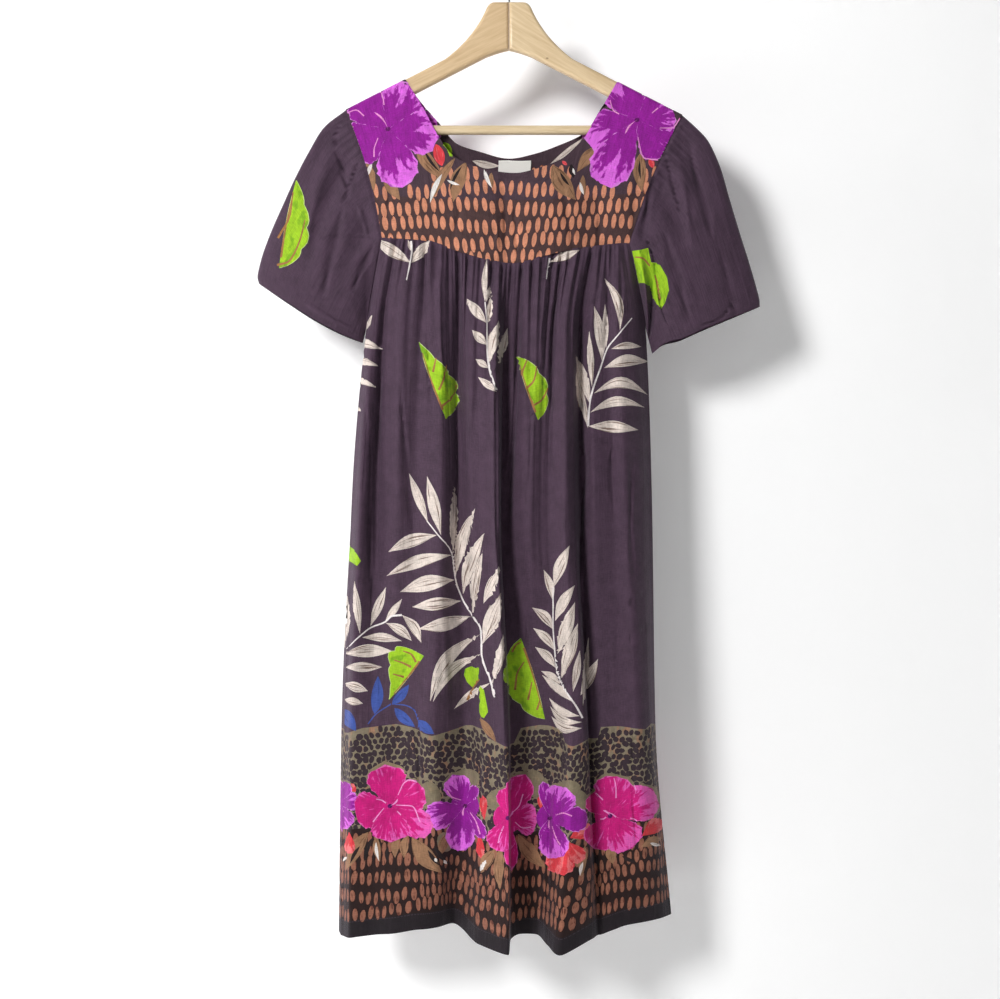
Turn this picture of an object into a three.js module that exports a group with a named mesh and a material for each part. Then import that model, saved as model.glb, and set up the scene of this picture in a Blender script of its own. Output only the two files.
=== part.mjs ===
// A muumuu dress hung on a flat wooden hanger. Millimetres, +Z up, the front faces -Y.
// The origin is the inside top of the hook, where it rests on a rod.
import * as THREE from "three";

// Driving dimensions: cloth
const clothThickness = 1.2;
const seamGap = 0.3;
const gathersAcrossPanel = 24;
const gatherDepth = 3.0;
const gatherReach = 0.13;
const underarmDown = 0.127;
const chestHeight = -165;
const chestToSeam = 195;

// Driving dimensions: hanger
const armDepth = 12;
const armHeight = 21.5;
const armRounding = 4;
const armSlope = 0.515;
const armTopAtCentre = -81.3;
const peakTop = -50;
const peakHalfWidth = 27;
const armReach = 206;
const barRadius = 6;
const barDrop = -215.5;
const barHalfLength = 190;
const hookWireRadius = 1.75;
const hookRadius = 21.75;

const finishes = {
  print: { color: 0x33202a, roughness: 0.85, metalness: 0 },
  label: { color: 0xe9e6df, roughness: 0.7, metalness: 0 },
  wood: { color: 0xd9b98c, roughness: 0.5, metalness: 0 },
  steel: { color: 0xb9bcc0, roughness: 0.25, metalness: 1 },
};

const part = new THREE.Group();

function addPiece(name, geometry, finish) {
  const mesh = new THREE.Mesh(geometry, new THREE.MeshStandardMaterial(finishes[finish]));
  mesh.name = name;
  part.add(mesh);
}

// A smooth curve through (ts, vs) that never overshoots its points.
function smoothCurve(ts, vs) {
  const last = ts.length - 1;
  const slopes = [];
  for (let i = 0; i < last; i += 1) slopes.push((vs[i + 1] - vs[i]) / (ts[i + 1] - ts[i]));
  const tangents = [slopes[0]];
  for (let i = 1; i < last; i += 1) {
    const sameWay = slopes[i - 1] * slopes[i] > 0;
    tangents.push(sameWay ? (2 * slopes[i - 1] * slopes[i]) / (slopes[i - 1] + slopes[i]) : 0);
  }
  tangents.push(slopes[last - 1]);
  return (t) => {
    let i = 0;
    while (i < last - 1 && t > ts[i + 1]) i += 1;
    const span = ts[i + 1] - ts[i];
    const s = Math.min(Math.max((t - ts[i]) / span, 0), 1);
    const rise = s * s * (3 - 2 * s);
    const leave = s * (1 - s) * (1 - s) * span * tangents[i];
    const arrive = s * s * (s - 1) * span * tangents[i + 1];
    return vs[i] + (vs[i + 1] - vs[i]) * rise + leave + arrive;
  };
}

const mix = (a, b, t) => a + (b - a) * t;
const smoothStep = (t) => {
  const s = Math.min(Math.max(t, 0), 1);
  return s * s * (3 - 2 * s);
};

// A closed wall of cloth on a grid of points: points[row][column], turned faces outward.
// closed joins the last column to the first, for a tube. outward gives the side that faces out.
function clothWall(points, { closed = false, outward, levelRows = [] }) {
  const rows = points.length;
  const columns = points[0].length;
  const at = (r, c) => points[r][closed ? (c + columns) % columns : Math.min(Math.max(c, 0), columns - 1)];
  const positions = [];
  const outer = [];
  const inner = [];
  for (let r = 0; r < rows; r += 1) {
    outer.push([]);
    inner.push([]);
    for (let c = 0; c < columns; c += 1) {
      const across = new THREE.Vector3().subVectors(at(r, c + 1), at(r, c - 1));
      const down = new THREE.Vector3().subVectors(
        points[Math.min(r + 1, rows - 1)][c], points[Math.max(r - 1, 0)][c]);
      if (levelRows.includes(r)) {
        across.z = 0;
        down.set(0, 0, -1);
      }
      const normal = new THREE.Vector3().crossVectors(across, down).normalize();
      if (outward === "flip") normal.negate();
      normal.multiplyScalar(clothThickness / 2);
      const point = points[r][c];
      outer[r].push(positions.length / 3);
      positions.push(...point.clone().add(normal).toArray());
      inner[r].push(positions.length / 3);
      positions.push(...point.clone().sub(normal).toArray());
    }
  }
  const faces = [];
  const quad = (a, b, c, d) => {
    if (outward === "flip") faces.push(a, b, c, a, c, d);
    else faces.push(a, c, b, a, d, c);
  };
  const spans = closed ? columns : columns - 1;
  for (let r = 0; r < rows - 1; r += 1) {
    for (let c = 0; c < spans; c += 1) {
      const n = (c + 1) % columns;
      quad(outer[r][c], outer[r + 1][c], outer[r + 1][n], outer[r][n]);
      quad(inner[r][c], inner[r][n], inner[r + 1][n], inner[r + 1][c]);
    }
    if (!closed) {
      const end = columns - 1;
      quad(outer[r][0], inner[r][0], inner[r + 1][0], outer[r + 1][0]);
      quad(outer[r][end], outer[r + 1][end], inner[r + 1][end], inner[r][end]);
    }
  }
  const foot = rows - 1;
  for (let c = 0; c < spans; c += 1) {
    const n = (c + 1) % columns;
    quad(outer[0][c], outer[0][n], inner[0][n], inner[0][c]);
    quad(outer[foot][c], inner[foot][c], inner[foot][n], outer[foot][n]);
  }
  const geometry = new THREE.BufferGeometry();
  geometry.setAttribute("position", new THREE.Float32BufferAttribute(positions, 3));
  geometry.setIndex(faces);
  geometry.computeVertexNormals();
  return geometry;
}

// The hanger's top edge, which the shoulders lie on.
const armTop = (x) => armTopAtCentre - armSlope * Math.abs(x);

// Panels: one row for each fold line, from side seam to side seam.
// x and y are at five levels: seam, bust, waist, knee and hem. hem is the height of the hem there.
const levels = [0, underarmDown, 0.375, 0.72, 1];
const frontFolds = [
  { x: [-164, -185, -204, -213, -216], y: [-14, -3, -3, -11, -20], hem: -1255 },
  { x: [-157, -174, -189, -198, -200], y: [-16, -18, -32, -38, -46], hem: -1250 },
  { x: [-144, -161, -171, -172, -173], y: [-17, -12, -14, -36, -44], hem: -1247 },
  { x: [-125, -136, -141, -144, -144], y: [-19, -28, -36, -34, -50], hem: -1243 },
  { x: [-109, -115, -123, -120, -115], y: [-20, -24, -30, -44, -48], hem: -1239 },
  { x: [-86, -88, -86, -95, -90], y: [-23, -34, -46, -60, -38], hem: -1239 },
  { x: [-69, -67, -64, -55, -70], y: [-22, -20, -24, -34, -12], hem: -1243 },
  { x: [-45, -50, -43, -31, -39], y: [-25, -36, -44, -58, -46], hem: -1258 },
  { x: [-9, -13, -13, -1, -1], y: [-27, -44, -60, -74, -80], hem: -1260 },
  { x: [-1, -7, -10, 2, 2], y: [-25, -22, -26, -38, -37], hem: -1255 },
  { x: [13, 8, 0, 17, 14], y: [-26, -27, -30, -32, -28], hem: -1251 },
  { x: [33, 29, 23, 41, 34], y: [-27, -42, -54, -34, -32], hem: -1250 },
  { x: [68, 56, 49, 64, 48], y: [-23, -30, -46, -50, -62], hem: -1254 },
  { x: [85, 70, 70, 79, 63], y: [-24, -44, -60, -70, -82], hem: -1260 },
  { x: [96, 80, 81, 98, 104], y: [-21, -38, -50, -64, -56], hem: -1248 },
  { x: [108, 92, 93, 102, 115], y: [-19, -18, -22, -34, -37], hem: -1249 },
  { x: [117, 106, 108, 123, 131], y: [-20, -34, -42, -36, -38], hem: -1243 },
  { x: [129, 124, 132, 141, 149], y: [-18, -28, -36, -38, -34], hem: -1238 },
  { x: [138, 139, 147, 162, 171], y: [-17, -32, -42, -46, -28], hem: -1236 },
  { x: [147, 158, 166, 179, 194], y: [-16, -24, -28, -32, -16], hem: -1235 },
  { x: [155, 178, 186, 191, 212], y: [-14, 2, 2, 4, 8], hem: -1237 },
];
const backFolds = [
  { x: [-164, -185, -204, -213, -216], y: [14, -3, -3, -11, -20], hem: -1255 },
  { x: [-158, -180, -205, -219, -221], y: [17, 16, 16, 8, -2], hem: -1254 },
  { x: [-132, -150, -178, -190, -198], y: [17, 30, 38, 40, 30], hem: -1250 },
  { x: [-104, -120, -140, -155, -160], y: [19, 24, 24, 22, 18], hem: -1244 },
  { x: [-78, -86, -104, -112, -120], y: [20, 34, 44, 48, 50], hem: -1248 },
  { x: [-46, -52, -66, -76, -84], y: [21, 25, 26, 24, 20], hem: -1244 },
  { x: [-18, -20, -30, -36, -40], y: [22, 36, 46, 50, 52], hem: -1249 },
  { x: [12, 12, 8, 4, 2], y: [22, 26, 28, 26, 24], hem: -1245 },
  { x: [42, 44, 46, 48, 50], y: [21, 35, 46, 50, 54], hem: -1249 },
  { x: [70, 76, 84, 90, 94], y: [20, 25, 26, 24, 20], hem: -1244 },
  { x: [98, 108, 120, 126, 134], y: [19, 33, 42, 46, 48], hem: -1248 },
  { x: [126, 140, 152, 162, 172], y: [17, 24, 26, 26, 24], hem: -1243 },
  { x: [149, 172, 184, 190, 208], y: [18, 18, 21, 23, 26], hem: -1240 },
  { x: [155, 178, 186, 191, 212], y: [14, 2, 2, 4, 8], hem: -1237 },
];

// The curved seam where a panel hangs from its yoke.
const frontSeam = smoothCurve([-164, -109, -61, 5, 48, 82, 155], [-358, -363, -379, -394, -383, -375, -365]);
const backSeam = smoothCurve([-164, -61, 5, 82, 155], [-358, -366, -369, -367, -365]);

// Gathers start part formed at the seam. Their spacing drifts and their depth is uneven across.
const gatherStart = { share: 0.6, length: 0.004 };
const gatherDrift = { size: 0.005, pace: 31 };
const gatherUnevenness = { size: 0.25, pace: 47 };
const gatherFadeAtSides = 0.3;
// Between yoke and underarm the back panel's edge bows outward along the armhole.
const armholeBow = 6;
const armholeReach = 0.045;

// A point of a panel. across and down run from 0 to 1, side is -1 for the front and 1 for the back.
function panelLine(folds, seam, side) {
  const left = folds[0].x[0];
  const width = folds[folds.length - 1].x[0] - left;
  const places = folds.map((fold) => (fold.x[0] - left) / width);
  const xCurves = folds.map((fold) => smoothCurve(levels, fold.x));
  const yCurves = folds.map((fold) => smoothCurve(levels, fold.y));
  const hemHeight = smoothCurve(places, folds.map((fold) => fold.hem));
  return (down) => {
    const xAcross = smoothCurve(places, xCurves.map((curve) => curve(down)));
    const yAcross = smoothCurve(places, yCurves.map((curve) => curve(down)));
    const start = mix(gatherStart.share, 1, smoothStep(down / gatherStart.length));
    const gather = gatherDepth * start * Math.exp(-down / gatherReach);
    return (across) => {
      const middle = Math.sin(Math.PI * across);
      const place = across + gatherDrift.size * Math.sin(gatherDrift.pace * across) * middle;
      const swing = Math.sin(gatherUnevenness.pace * across + side);
      const unevenness = 1 - gatherUnevenness.size + gatherUnevenness.size * swing;
      const wave = Math.cos(2 * Math.PI * gathersAcrossPanel * across) * middle ** gatherFadeAtSides;
      const nearEdge = Math.exp(-((Math.min(across, 1 - across) / armholeReach) ** 2));
      const arch = Math.sin(Math.PI * Math.min(1, down / underarmDown));
      const bow = side > 0 ? armholeBow * arch * nearEdge : 0;
      const top = seam(left + width * place);
      return new THREE.Vector3(
        xAcross(place),
        yAcross(place) + side * (gather * unevenness * wave + bow),
        mix(top, hemHeight(place), down),
      );
    };
  };
}
const frontLine = panelLine(frontFolds, frontSeam, -1);
const backLine = panelLine(backFolds, backSeam, 1);

// The panels' wall: four columns for each gather, and a short return at each side seam.
const panelRows = [0, 0.02, 0.06, 0.127, 0.2, 0.29, 0.375, 0.48, 0.6, 0.72, 0.86, 1];
const sideReturn = 4;
function panelPoints(line, columns, side) {
  return panelRows.map((down) => {
    const pointAt = line(down);
    const row = [];
    for (let c = 0; c <= columns; c += 1) row.push(pointAt(c / columns));
    for (const [end, next] of [[0, 1], [columns, columns - 1]]) {
      row[end].y += side * seamGap / 2;
      if (down >= underarmDown) {
        row[next].x = row[end].x;
        row[next].y = row[end].y + side * sideReturn;
      }
    }
    row.forEach((point) => { point.z -= 1.5 * seamGap * (1 - down); });
    return row;
  });
}
addPiece("front_panel", clothWall(
  panelPoints(frontLine, gathersAcrossPanel * 4, -1), { levelRows: [0], outward: "flip" }), "print");
addPiece("back_panel", clothWall(
  panelPoints(backLine, gathersAcrossPanel * 3, 1), { levelRows: [0] }), "print");

// Yokes: the top boundary runs from armhole up the shoulder, round the neck and down the other shoulder.
const shoulderLeft = -212;
const shoulderRight = 225;
const shoulderShare = 0.18;
const shoulderLift = 1.1;
const armLean = Math.cos(Math.atan(armSlope));
const wrapRadius = armRounding + shoulderLift * armLean;
const wrapFlat = armDepth / 2 - armRounding;
const wrapDepth = wrapFlat + wrapRadius;
const frontNeck = {
  x: [-135, -112, -93, -72, -50, -17, 9, 46, 67, 82, 98, 119, 141],
  z: [-150, -187, -223, -252, -264, -273, -275, -266, -257, -244, -226, -190, -153],
};
const backNeck = {
  x: [-135, -114, -91, -68, -38, 1, 32, 62, 99, 120, 141],
  z: [-150, -178, -204, -230, -240, -249, -243, -233, -216, -185, -153],
};
const shoulderLip = 0.002;
const yokeRows = [0, shoulderLip, 0.008, 0.02, 0.05, 0.14, 0.32, 0.55, 0.8, 1];
const sideBow = 6;
const depthAtSeamEnds = 14;
const depthAtSeamMiddle = 26;
const yokeFoldShare = 0.8;
const yokeFolds = [
  { xTop: -60, xFoot: -92, width: 26, depth: 3 },
  { xTop: 2, xFoot: 0, width: 16, depth: 5 },
  { xTop: 100, xFoot: 118, width: 22, depth: 6 },
  { xTop: 60, xFoot: 60, width: 20, depth: -3 },
];

function yokePoint(neck, seam, side) {
  const last = neck.x.length - 1;
  const onArm = (i) => i === 0 || i === last;
  const heights = neck.z.map((z, i) => (onArm(i) ? armTop(neck.x[i]) + shoulderLift : z));
  const lengths = [0];
  for (let i = 1; i <= last; i += 1) {
    lengths.push(lengths[i - 1] + Math.hypot(neck.x[i] - neck.x[i - 1], heights[i] - heights[i - 1]));
  }
  const shares = lengths.map((length) => length / lengths[last]);
  const neckX = smoothCurve(shares, neck.x);
  const neckZ = smoothCurve(shares, heights);
  const seamLeft = frontFolds[0].x[0];
  const seamRight = frontFolds[frontFolds.length - 1].x[0];
  return (across, down) => {
    let x;
    let z;
    if (across < shoulderShare) {
      x = mix(shoulderLeft, neck.x[0], across / shoulderShare);
      z = armTop(x) + shoulderLift;
    } else if (across > 1 - shoulderShare) {
      x = mix(shoulderRight, neck.x[last], (1 - across) / shoulderShare);
      z = armTop(x) + shoulderLift;
    } else {
      const share = (across - shoulderShare) / (1 - 2 * shoulderShare);
      x = neckX(share);
      z = neckZ(share);
    }
    const xFoot = mix(seamLeft, seamRight, across);
    const zFoot = seam(xFoot);
    const onShoulder = across <= shoulderShare || across >= 1 - shoulderShare;
    const fall = onShoulder ? Math.max(0, down - shoulderLip) / (1 - shoulderLip) : down;
    const bow = Math.sin(Math.PI * fall) * sideBow * (1 - 2 * across) ** 5;
    const px = mix(x, xFoot, fall) + bow;
    const pz = mix(z, zFoot, fall);
    const below = Math.min((armTop(px) + shoulderLift - pz) * armLean, wrapRadius);
    const turned = Math.sqrt(wrapRadius ** 2 - (wrapRadius - Math.max(0, below)) ** 2);
    const wrap = onShoulder && down === 0 ? 0 : wrapFlat + turned;
    const hang = smoothStep(Math.max(0, (chestHeight - pz) / chestToSeam));
    const depthAtSeam = mix(depthAtSeamMiddle, depthAtSeamEnds, (2 * across - 1) ** 2);
    let depth = wrap + (depthAtSeam - wrapDepth) * hang;
    for (const fold of yokeFolds) {
      const along = (px - mix(fold.xTop, fold.xFoot, down)) / fold.width;
      depth -= fold.depth * Math.exp(-along * along) * hang * yokeFoldShare;
    }
    return new THREE.Vector3(px, side * (depth + seamGap / 2), pz);
  };
}
const frontYokePoint = yokePoint(frontNeck, frontSeam, -1);
const backYokePoint = yokePoint(backNeck, backSeam, 1);

// The columns crowd together where the neck edge turns over the hanger's arm.
const halfYoke = [];
const shoulderSteps = 6;
const neckHalfSteps = 9;
for (let i = 0; i <= shoulderSteps; i += 1) halfYoke.push((shoulderShare * i) / shoulderSteps);
for (const share of [0.001, 0.004, 0.009, 0.018]) halfYoke.push(mix(shoulderShare, 0.5, 2 * share));
for (let i = 1; i <= neckHalfSteps; i += 1) halfYoke.push(mix(shoulderShare, 0.5, i / neckHalfSteps));
const yokeColumns = [...halfYoke, ...halfYoke.slice(0, -1).reverse().map((across) => 1 - across)];

const yokePoints = (point) => yokeRows.map((down) => yokeColumns.map((across) => point(across, down)));
const lastYokeRow = yokeRows.length - 1;
addPiece("front_yoke", clothWall(
  yokePoints(frontYokePoint), { levelRows: [lastYokeRow], outward: "flip" }), "print");
addPiece("back_yoke", clothWall(yokePoints(backYokePoint), { levelRows: [lastYokeRow] }), "print");

// Sleeves: a tube from the armhole to the cuff, flattened front to back.
// outer is the top edge and inner the underarm line in the x, z plane, cuff the lower edge between them.
// Each fold has a place from the top edge (0) to the underarm (1) at the armhole and at the cuff.
const sleeves = {
  left: {
    outward: -1,
    outer: { x: [-212, -241, -259, -277, -293, -311, -322, -327, -325],
      z: [-190, -213, -242, -276, -311, -352, -383, -406, -415] },
    inner: { x: [-187, -190], z: [-470, -492] },
    cuff: { x: [-325, -288, -255, -219, -190], z: [-415, -440, -461, -480, -492] },
    halfDepth: 20,
    folds: [
      { armhole: 0.05, cuff: 0.12, depth: 7, width: 0.05, reach: 0.6 },
      { armhole: 0.18, cuff: 0.38, depth: 9, width: 0.06, reach: 0.9 },
      { armhole: 0.5, cuff: 0.66, depth: 6, width: 0.08, reach: 0.8 },
    ],
    bulge: 0,
  },
  right: {
    outward: 1,
    outer: { x: [225, 243, 258, 275, 287, 300, 315, 326, 326],
      z: [-197, -213, -229, -265, -306, -349, -397, -438, -445] },
    inner: { x: [181, 186], z: [-470, -506] },
    cuff: { x: [326, 286, 252, 222, 203, 186], z: [-445, -461, -475, -488, -493, -506] },
    halfDepth: 20,
    folds: [
      { armhole: 0.1, cuff: 0.14, depth: 7, width: 0.05, reach: 0.6 },
      { armhole: 0.3, cuff: 0.4, depth: 7, width: 0.07, reach: 0.9 },
    ],
    bulge: 16,
  },
};
const cornerShare = 0.62;
const sleeveGap = 0.7;
const underarmGap = 1.6;
const underarmGapStart = 0.85;
const underarmGapLength = 0.12;
const roundToLensRate = 1.6;
const foldStartRate = 8;
// The puff at the right underarm: a belly, then a dent, by how far along the sleeve they are.
const belly = { along: 0.16, width: 0.12 };
const dent = { along: 0.42, width: 0.09, share: 0.8 };
const puffStart = 0.5;
const puffLength = 0.3;
const hump = (t, { along, width }) => Math.exp(-(((t - along) / width) ** 2));

// The armhole edge from shoulder (0) to underarm (1), along the yoke's side and then the panel's.
function armholePoint(side, front, share) {
  const across = side === "left" ? 0 : 1;
  if (share <= cornerShare) {
    const yoke = front ? frontYokePoint : backYokePoint;
    return yoke(across, share / cornerShare);
  }
  const line = front ? frontLine : backLine;
  return line(((share - cornerShare) / (1 - cornerShare)) * underarmDown)(across);
}

function sleevePoint(side) {
  const shape = sleeves[side];
  const curveOf = ({ x, z }) => {
    const steps = x.map((_, i) => i / (x.length - 1));
    const xs = smoothCurve(steps, x);
    const zs = smoothCurve(steps, z);
    return (t) => new THREE.Vector2(xs(t), zs(t));
  };
  const outer = curveOf(shape.outer);
  const inner = curveOf(shape.inner);
  const cuff = curveOf(shape.cuff);
  return (front, place, along) => {
    const hole = armholePoint(side, front, place);
    const nearUnderarm = smoothStep((place - underarmGapStart) / underarmGapLength);
    const gap = mix(sleeveGap, underarmGap, nearUnderarm);
    const start = new THREE.Vector2(hole.x + shape.outward * gap, hole.z);
    const corners = [outer(0), inner(0), outer(1), inner(1)];
    const blend = (a, b, t) => a.clone().multiplyScalar(1 - t).addScaledVector(b, t);
    const ruledAlong = blend(start, cuff(place), along);
    const ruledAcross = blend(outer(along), inner(along), place);
    const flat = blend(blend(corners[0], corners[1], place), blend(corners[2], corners[3], place), along);
    const spot = ruledAlong.add(ruledAcross).sub(flat);
    const lens = Math.sqrt(Math.max(0, Math.sin(Math.PI * place)));
    let depth = mix(Math.abs(hole.y), shape.halfDepth * lens, smoothStep(along * roundToLensRate));
    for (const fold of shape.folds) {
      const off = (place - mix(fold.armhole, fold.cuff, along)) / fold.width;
      const fade = smoothStep(along * foldStartRate) * (1 - smoothStep(along / fold.reach));
      depth -= fold.depth * Math.exp(-off * off) * fade * lens;
    }
    if (front && shape.bulge > 0) {
      const puff = hump(along, belly) - dent.share * hump(along, dent);
      depth += shape.bulge * puff * smoothStep((place - puffStart) / puffLength) * lens;
    }
    return new THREE.Vector3(spot.x, (front ? -1 : 1) * depth, spot.y);
  };
}

const frontSleeveSteps = 18;
const backSleeveSteps = 12;
const sleeveRows = [0, 0.04, 0.1, 0.18, 0.27, 0.38, 0.52, 0.68, 0.84, 1];
// Columns crowd towards the top edge and the underarm line, where the cloth turns round.
const crowded = (t) => (1 - Math.cos(Math.PI * t)) / 2;
function sleevePoints(side) {
  const point = sleevePoint(side);
  return sleeveRows.map((along) => {
    const row = [];
    for (let i = 0; i <= frontSleeveSteps; i += 1) {
      row.push(point(true, crowded(i / frontSleeveSteps), along));
    }
    for (let i = 1; i < backSleeveSteps; i += 1) {
      row.push(point(false, 1 - crowded(i / backSleeveSteps), along));
    }
    return row;
  });
}
addPiece("sleeve_left", clothWall(sleevePoints("left"), { closed: true }), "print");
addPiece("sleeve_right", clothWall(sleevePoints("right"), { closed: true, outward: "flip" }), "print");

// Neck label: a small woven tab inside the back neck, made from the back yoke's points, moved inward.
const label = { from: 0.475, to: 0.555, top: 0.04, foot: 0.3, steps: 4 };
const labelOffset = clothThickness + 1.6 * seamGap;
const labelPoints = [];
for (let r = 0; r <= label.steps; r += 1) {
  labelPoints.push([]);
  for (let c = 0; c <= label.steps; c += 1) {
    const spot = backYokePoint(
      mix(label.from, label.to, c / label.steps), mix(label.top, label.foot, r / label.steps));
    spot.y -= labelOffset;
    labelPoints[r].push(spot);
  }
}
addPiece("neck_label", clothWall(labelPoints, {}), "label");

// Hanger arms: one outline for each half, from the shared peak to a rounded end that takes the bar.
// The hollow shoulder of the peak bends at peakBend and meets the straight arm at armStart.
const peakShoulder = 12;
const peakBend = { x: 48, z: -98 };
const armStart = 83;
const peakUnderside = { from: 30, bend: 12, height: 4 };
const armEnd = { round: 8, above: 6, below: 11, heel: 9 };
function armShape(side) {
  const gap = seamGap / 2;
  const under = (x) => armTop(x) - armHeight / armLean;
  const endTop = armTop(armReach - armEnd.round);
  const crown = under(peakHalfWidth - peakUnderside.height) + peakUnderside.height;
  const heelX = barHalfLength + seamGap;
  const shape = new THREE.Shape();
  shape.moveTo(side * gap, peakTop);
  shape.lineTo(side * peakHalfWidth * (2 / 3), peakTop);
  shape.quadraticCurveTo(
    side * peakHalfWidth, peakTop, side * (peakHalfWidth + peakUnderside.height), peakTop - peakShoulder);
  shape.quadraticCurveTo(side * peakBend.x, peakBend.z, side * armStart, armTop(armStart));
  shape.lineTo(side * (armReach - armEnd.round), endTop);
  shape.quadraticCurveTo(
    side * armReach, endTop - armEnd.above, side * armReach, barDrop + armEnd.above);
  shape.lineTo(side * armReach, barDrop - peakUnderside.height);
  shape.quadraticCurveTo(
    side * armReach, barDrop - armEnd.below, side * (armReach - armEnd.below), barDrop - armEnd.below);
  shape.lineTo(side * heelX, barDrop - armEnd.heel);
  shape.lineTo(side * heelX, under(barHalfLength));
  shape.lineTo(side * peakUnderside.from, under(peakUnderside.from));
  shape.quadraticCurveTo(
    side * peakUnderside.bend, crown, side * gap, crown);
  return shape;
}
for (const [name, side] of [["left", -1], ["right", 1]]) {
  const arm = new THREE.ExtrudeGeometry(armShape(side), {
    depth: armDepth - 2 * armRounding,
    bevelThickness: armRounding,
    bevelSize: armRounding,
    bevelOffset: -armRounding,
    bevelSegments: 3,
    curveSegments: 5,
  });
  arm.rotateX(Math.PI / 2);
  arm.translate(0, armDepth / 2 - armRounding, 0);
  addPiece(`hanger_arm_${name}`, arm, "wood");
}

// The bar is a plain round rod between the arm ends.
const bar = new THREE.CylinderGeometry(barRadius, barRadius, barHalfLength * 2, 20);
bar.rotateZ(Math.PI / 2);
bar.translate(0, 0, barDrop);
addPiece("hanger_bar", bar, "wood");

// The hook is bent from one wire: a short straight shank, then most of a circle.
const hookCentre = -hookRadius + hookWireRadius;
const shankLength = 5;
const hookFrom = -62;
const hookTo = 205;
const hookBends = 12;
const hookRoute = [
  new THREE.Vector3(0, 0, peakTop + seamGap),
  new THREE.Vector3(0, 0, peakTop + shankLength),
];
for (let bend = 0; bend <= hookBends; bend += 1) {
  const angle = mix(hookFrom, hookTo, bend / hookBends);
  const turn = THREE.MathUtils.degToRad(angle);
  hookRoute.push(new THREE.Vector3(
    hookRadius * Math.cos(turn), 0, hookCentre + hookRadius * Math.sin(turn)));
}
const wireSection = new THREE.Shape();
wireSection.absarc(0, 0, hookWireRadius, 0, Math.PI * 2);
const hook = new THREE.ExtrudeGeometry(wireSection, {
  steps: 44, curveSegments: 5, extrudePath: new THREE.CatmullRomCurve3(hookRoute),
});
addPiece("hanger_hook", hook, "steel");

export default part;
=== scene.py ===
import math
import random
import bpy
import numpy as np
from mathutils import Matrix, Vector
from mathutils.geometry import delaunay_2d_cdt
from mathutils.kdtree import KDTree


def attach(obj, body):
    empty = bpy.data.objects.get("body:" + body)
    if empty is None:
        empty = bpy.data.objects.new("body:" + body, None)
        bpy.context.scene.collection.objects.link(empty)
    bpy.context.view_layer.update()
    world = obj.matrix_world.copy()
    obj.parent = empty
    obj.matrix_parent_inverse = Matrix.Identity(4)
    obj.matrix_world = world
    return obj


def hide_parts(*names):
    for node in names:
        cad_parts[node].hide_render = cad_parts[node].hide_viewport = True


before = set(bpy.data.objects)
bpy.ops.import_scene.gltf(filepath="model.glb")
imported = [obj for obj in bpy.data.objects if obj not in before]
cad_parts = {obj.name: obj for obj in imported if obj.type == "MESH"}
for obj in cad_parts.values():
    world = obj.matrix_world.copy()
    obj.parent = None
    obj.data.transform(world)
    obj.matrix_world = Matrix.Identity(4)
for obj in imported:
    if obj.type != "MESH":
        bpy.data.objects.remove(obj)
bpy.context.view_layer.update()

# Camera: level with the middle of the dress and 1.7 m in front of it. One pixel of the
# photograph is 1.3 mm in the plane of the hanger. Places below are given in those pixels.
pixel = 1.3
hanger_px = 509.0
middle_py = 499.5
camera_at = (-0.0117, -1.7, -0.6955)
camera_data = bpy.data.cameras.new("camera")
camera_data.lens = 47.08
camera_data.sensor_width = 36.0
camera = bpy.data.objects.new("camera", camera_data)
camera.location = camera_at
camera.rotation_euler = (math.pi / 2, 0, 0)
bpy.context.collection.objects.link(camera)
scene = bpy.context.scene
scene.camera = camera
scene.view_settings.view_transform = "Standard"


def photo_place(points):
    """Pixel columns and rows where points (mm) are seen from the camera."""
    eye = np.array(camera_at) * 1000
    scale = -eye[1] / (points[:, 1] - eye[1])
    across = eye[0] + (points[:, 0] - eye[0]) * scale
    up = eye[2] + (points[:, 2] - eye[2]) * scale
    return hanger_px + across / pixel, middle_py - (up - eye[2]) / pixel


# Backdrop: a white paper sheet behind the dress that curves into the floor below it.
# Its back is clear, so that the dress can be seen from behind too.
def new_material(name):
    material = bpy.data.materials.new(name)
    material.use_nodes = True
    tree = material.node_tree
    tree.nodes.clear()
    return material, tree


def add_node(tree, kind, values=None, **settings):
    """A node whose inputs take plain values, sockets, or nodes by their first output."""
    node = tree.nodes.new(kind)
    for key, value in settings.items():
        setattr(node, key, value)
    for key, value in (values or {}).items():
        if isinstance(value, bpy.types.Node):
            value = value.outputs[0]
        if isinstance(value, bpy.types.NodeSocket):
            tree.links.new(value, node.inputs[key])
        else:
            node.inputs[key].default_value = value
    return node


def mesh_piece(name, points, faces, material):
    mesh = bpy.data.meshes.new(name)
    mesh.from_pydata(points, [], faces)
    mesh.materials.append(material)
    mesh.polygons.foreach_set("use_smooth", [True] * len(mesh.polygons))
    mesh.update()
    piece = bpy.data.objects.new(name, mesh)
    bpy.context.collection.objects.link(piece)
    return piece


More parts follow.
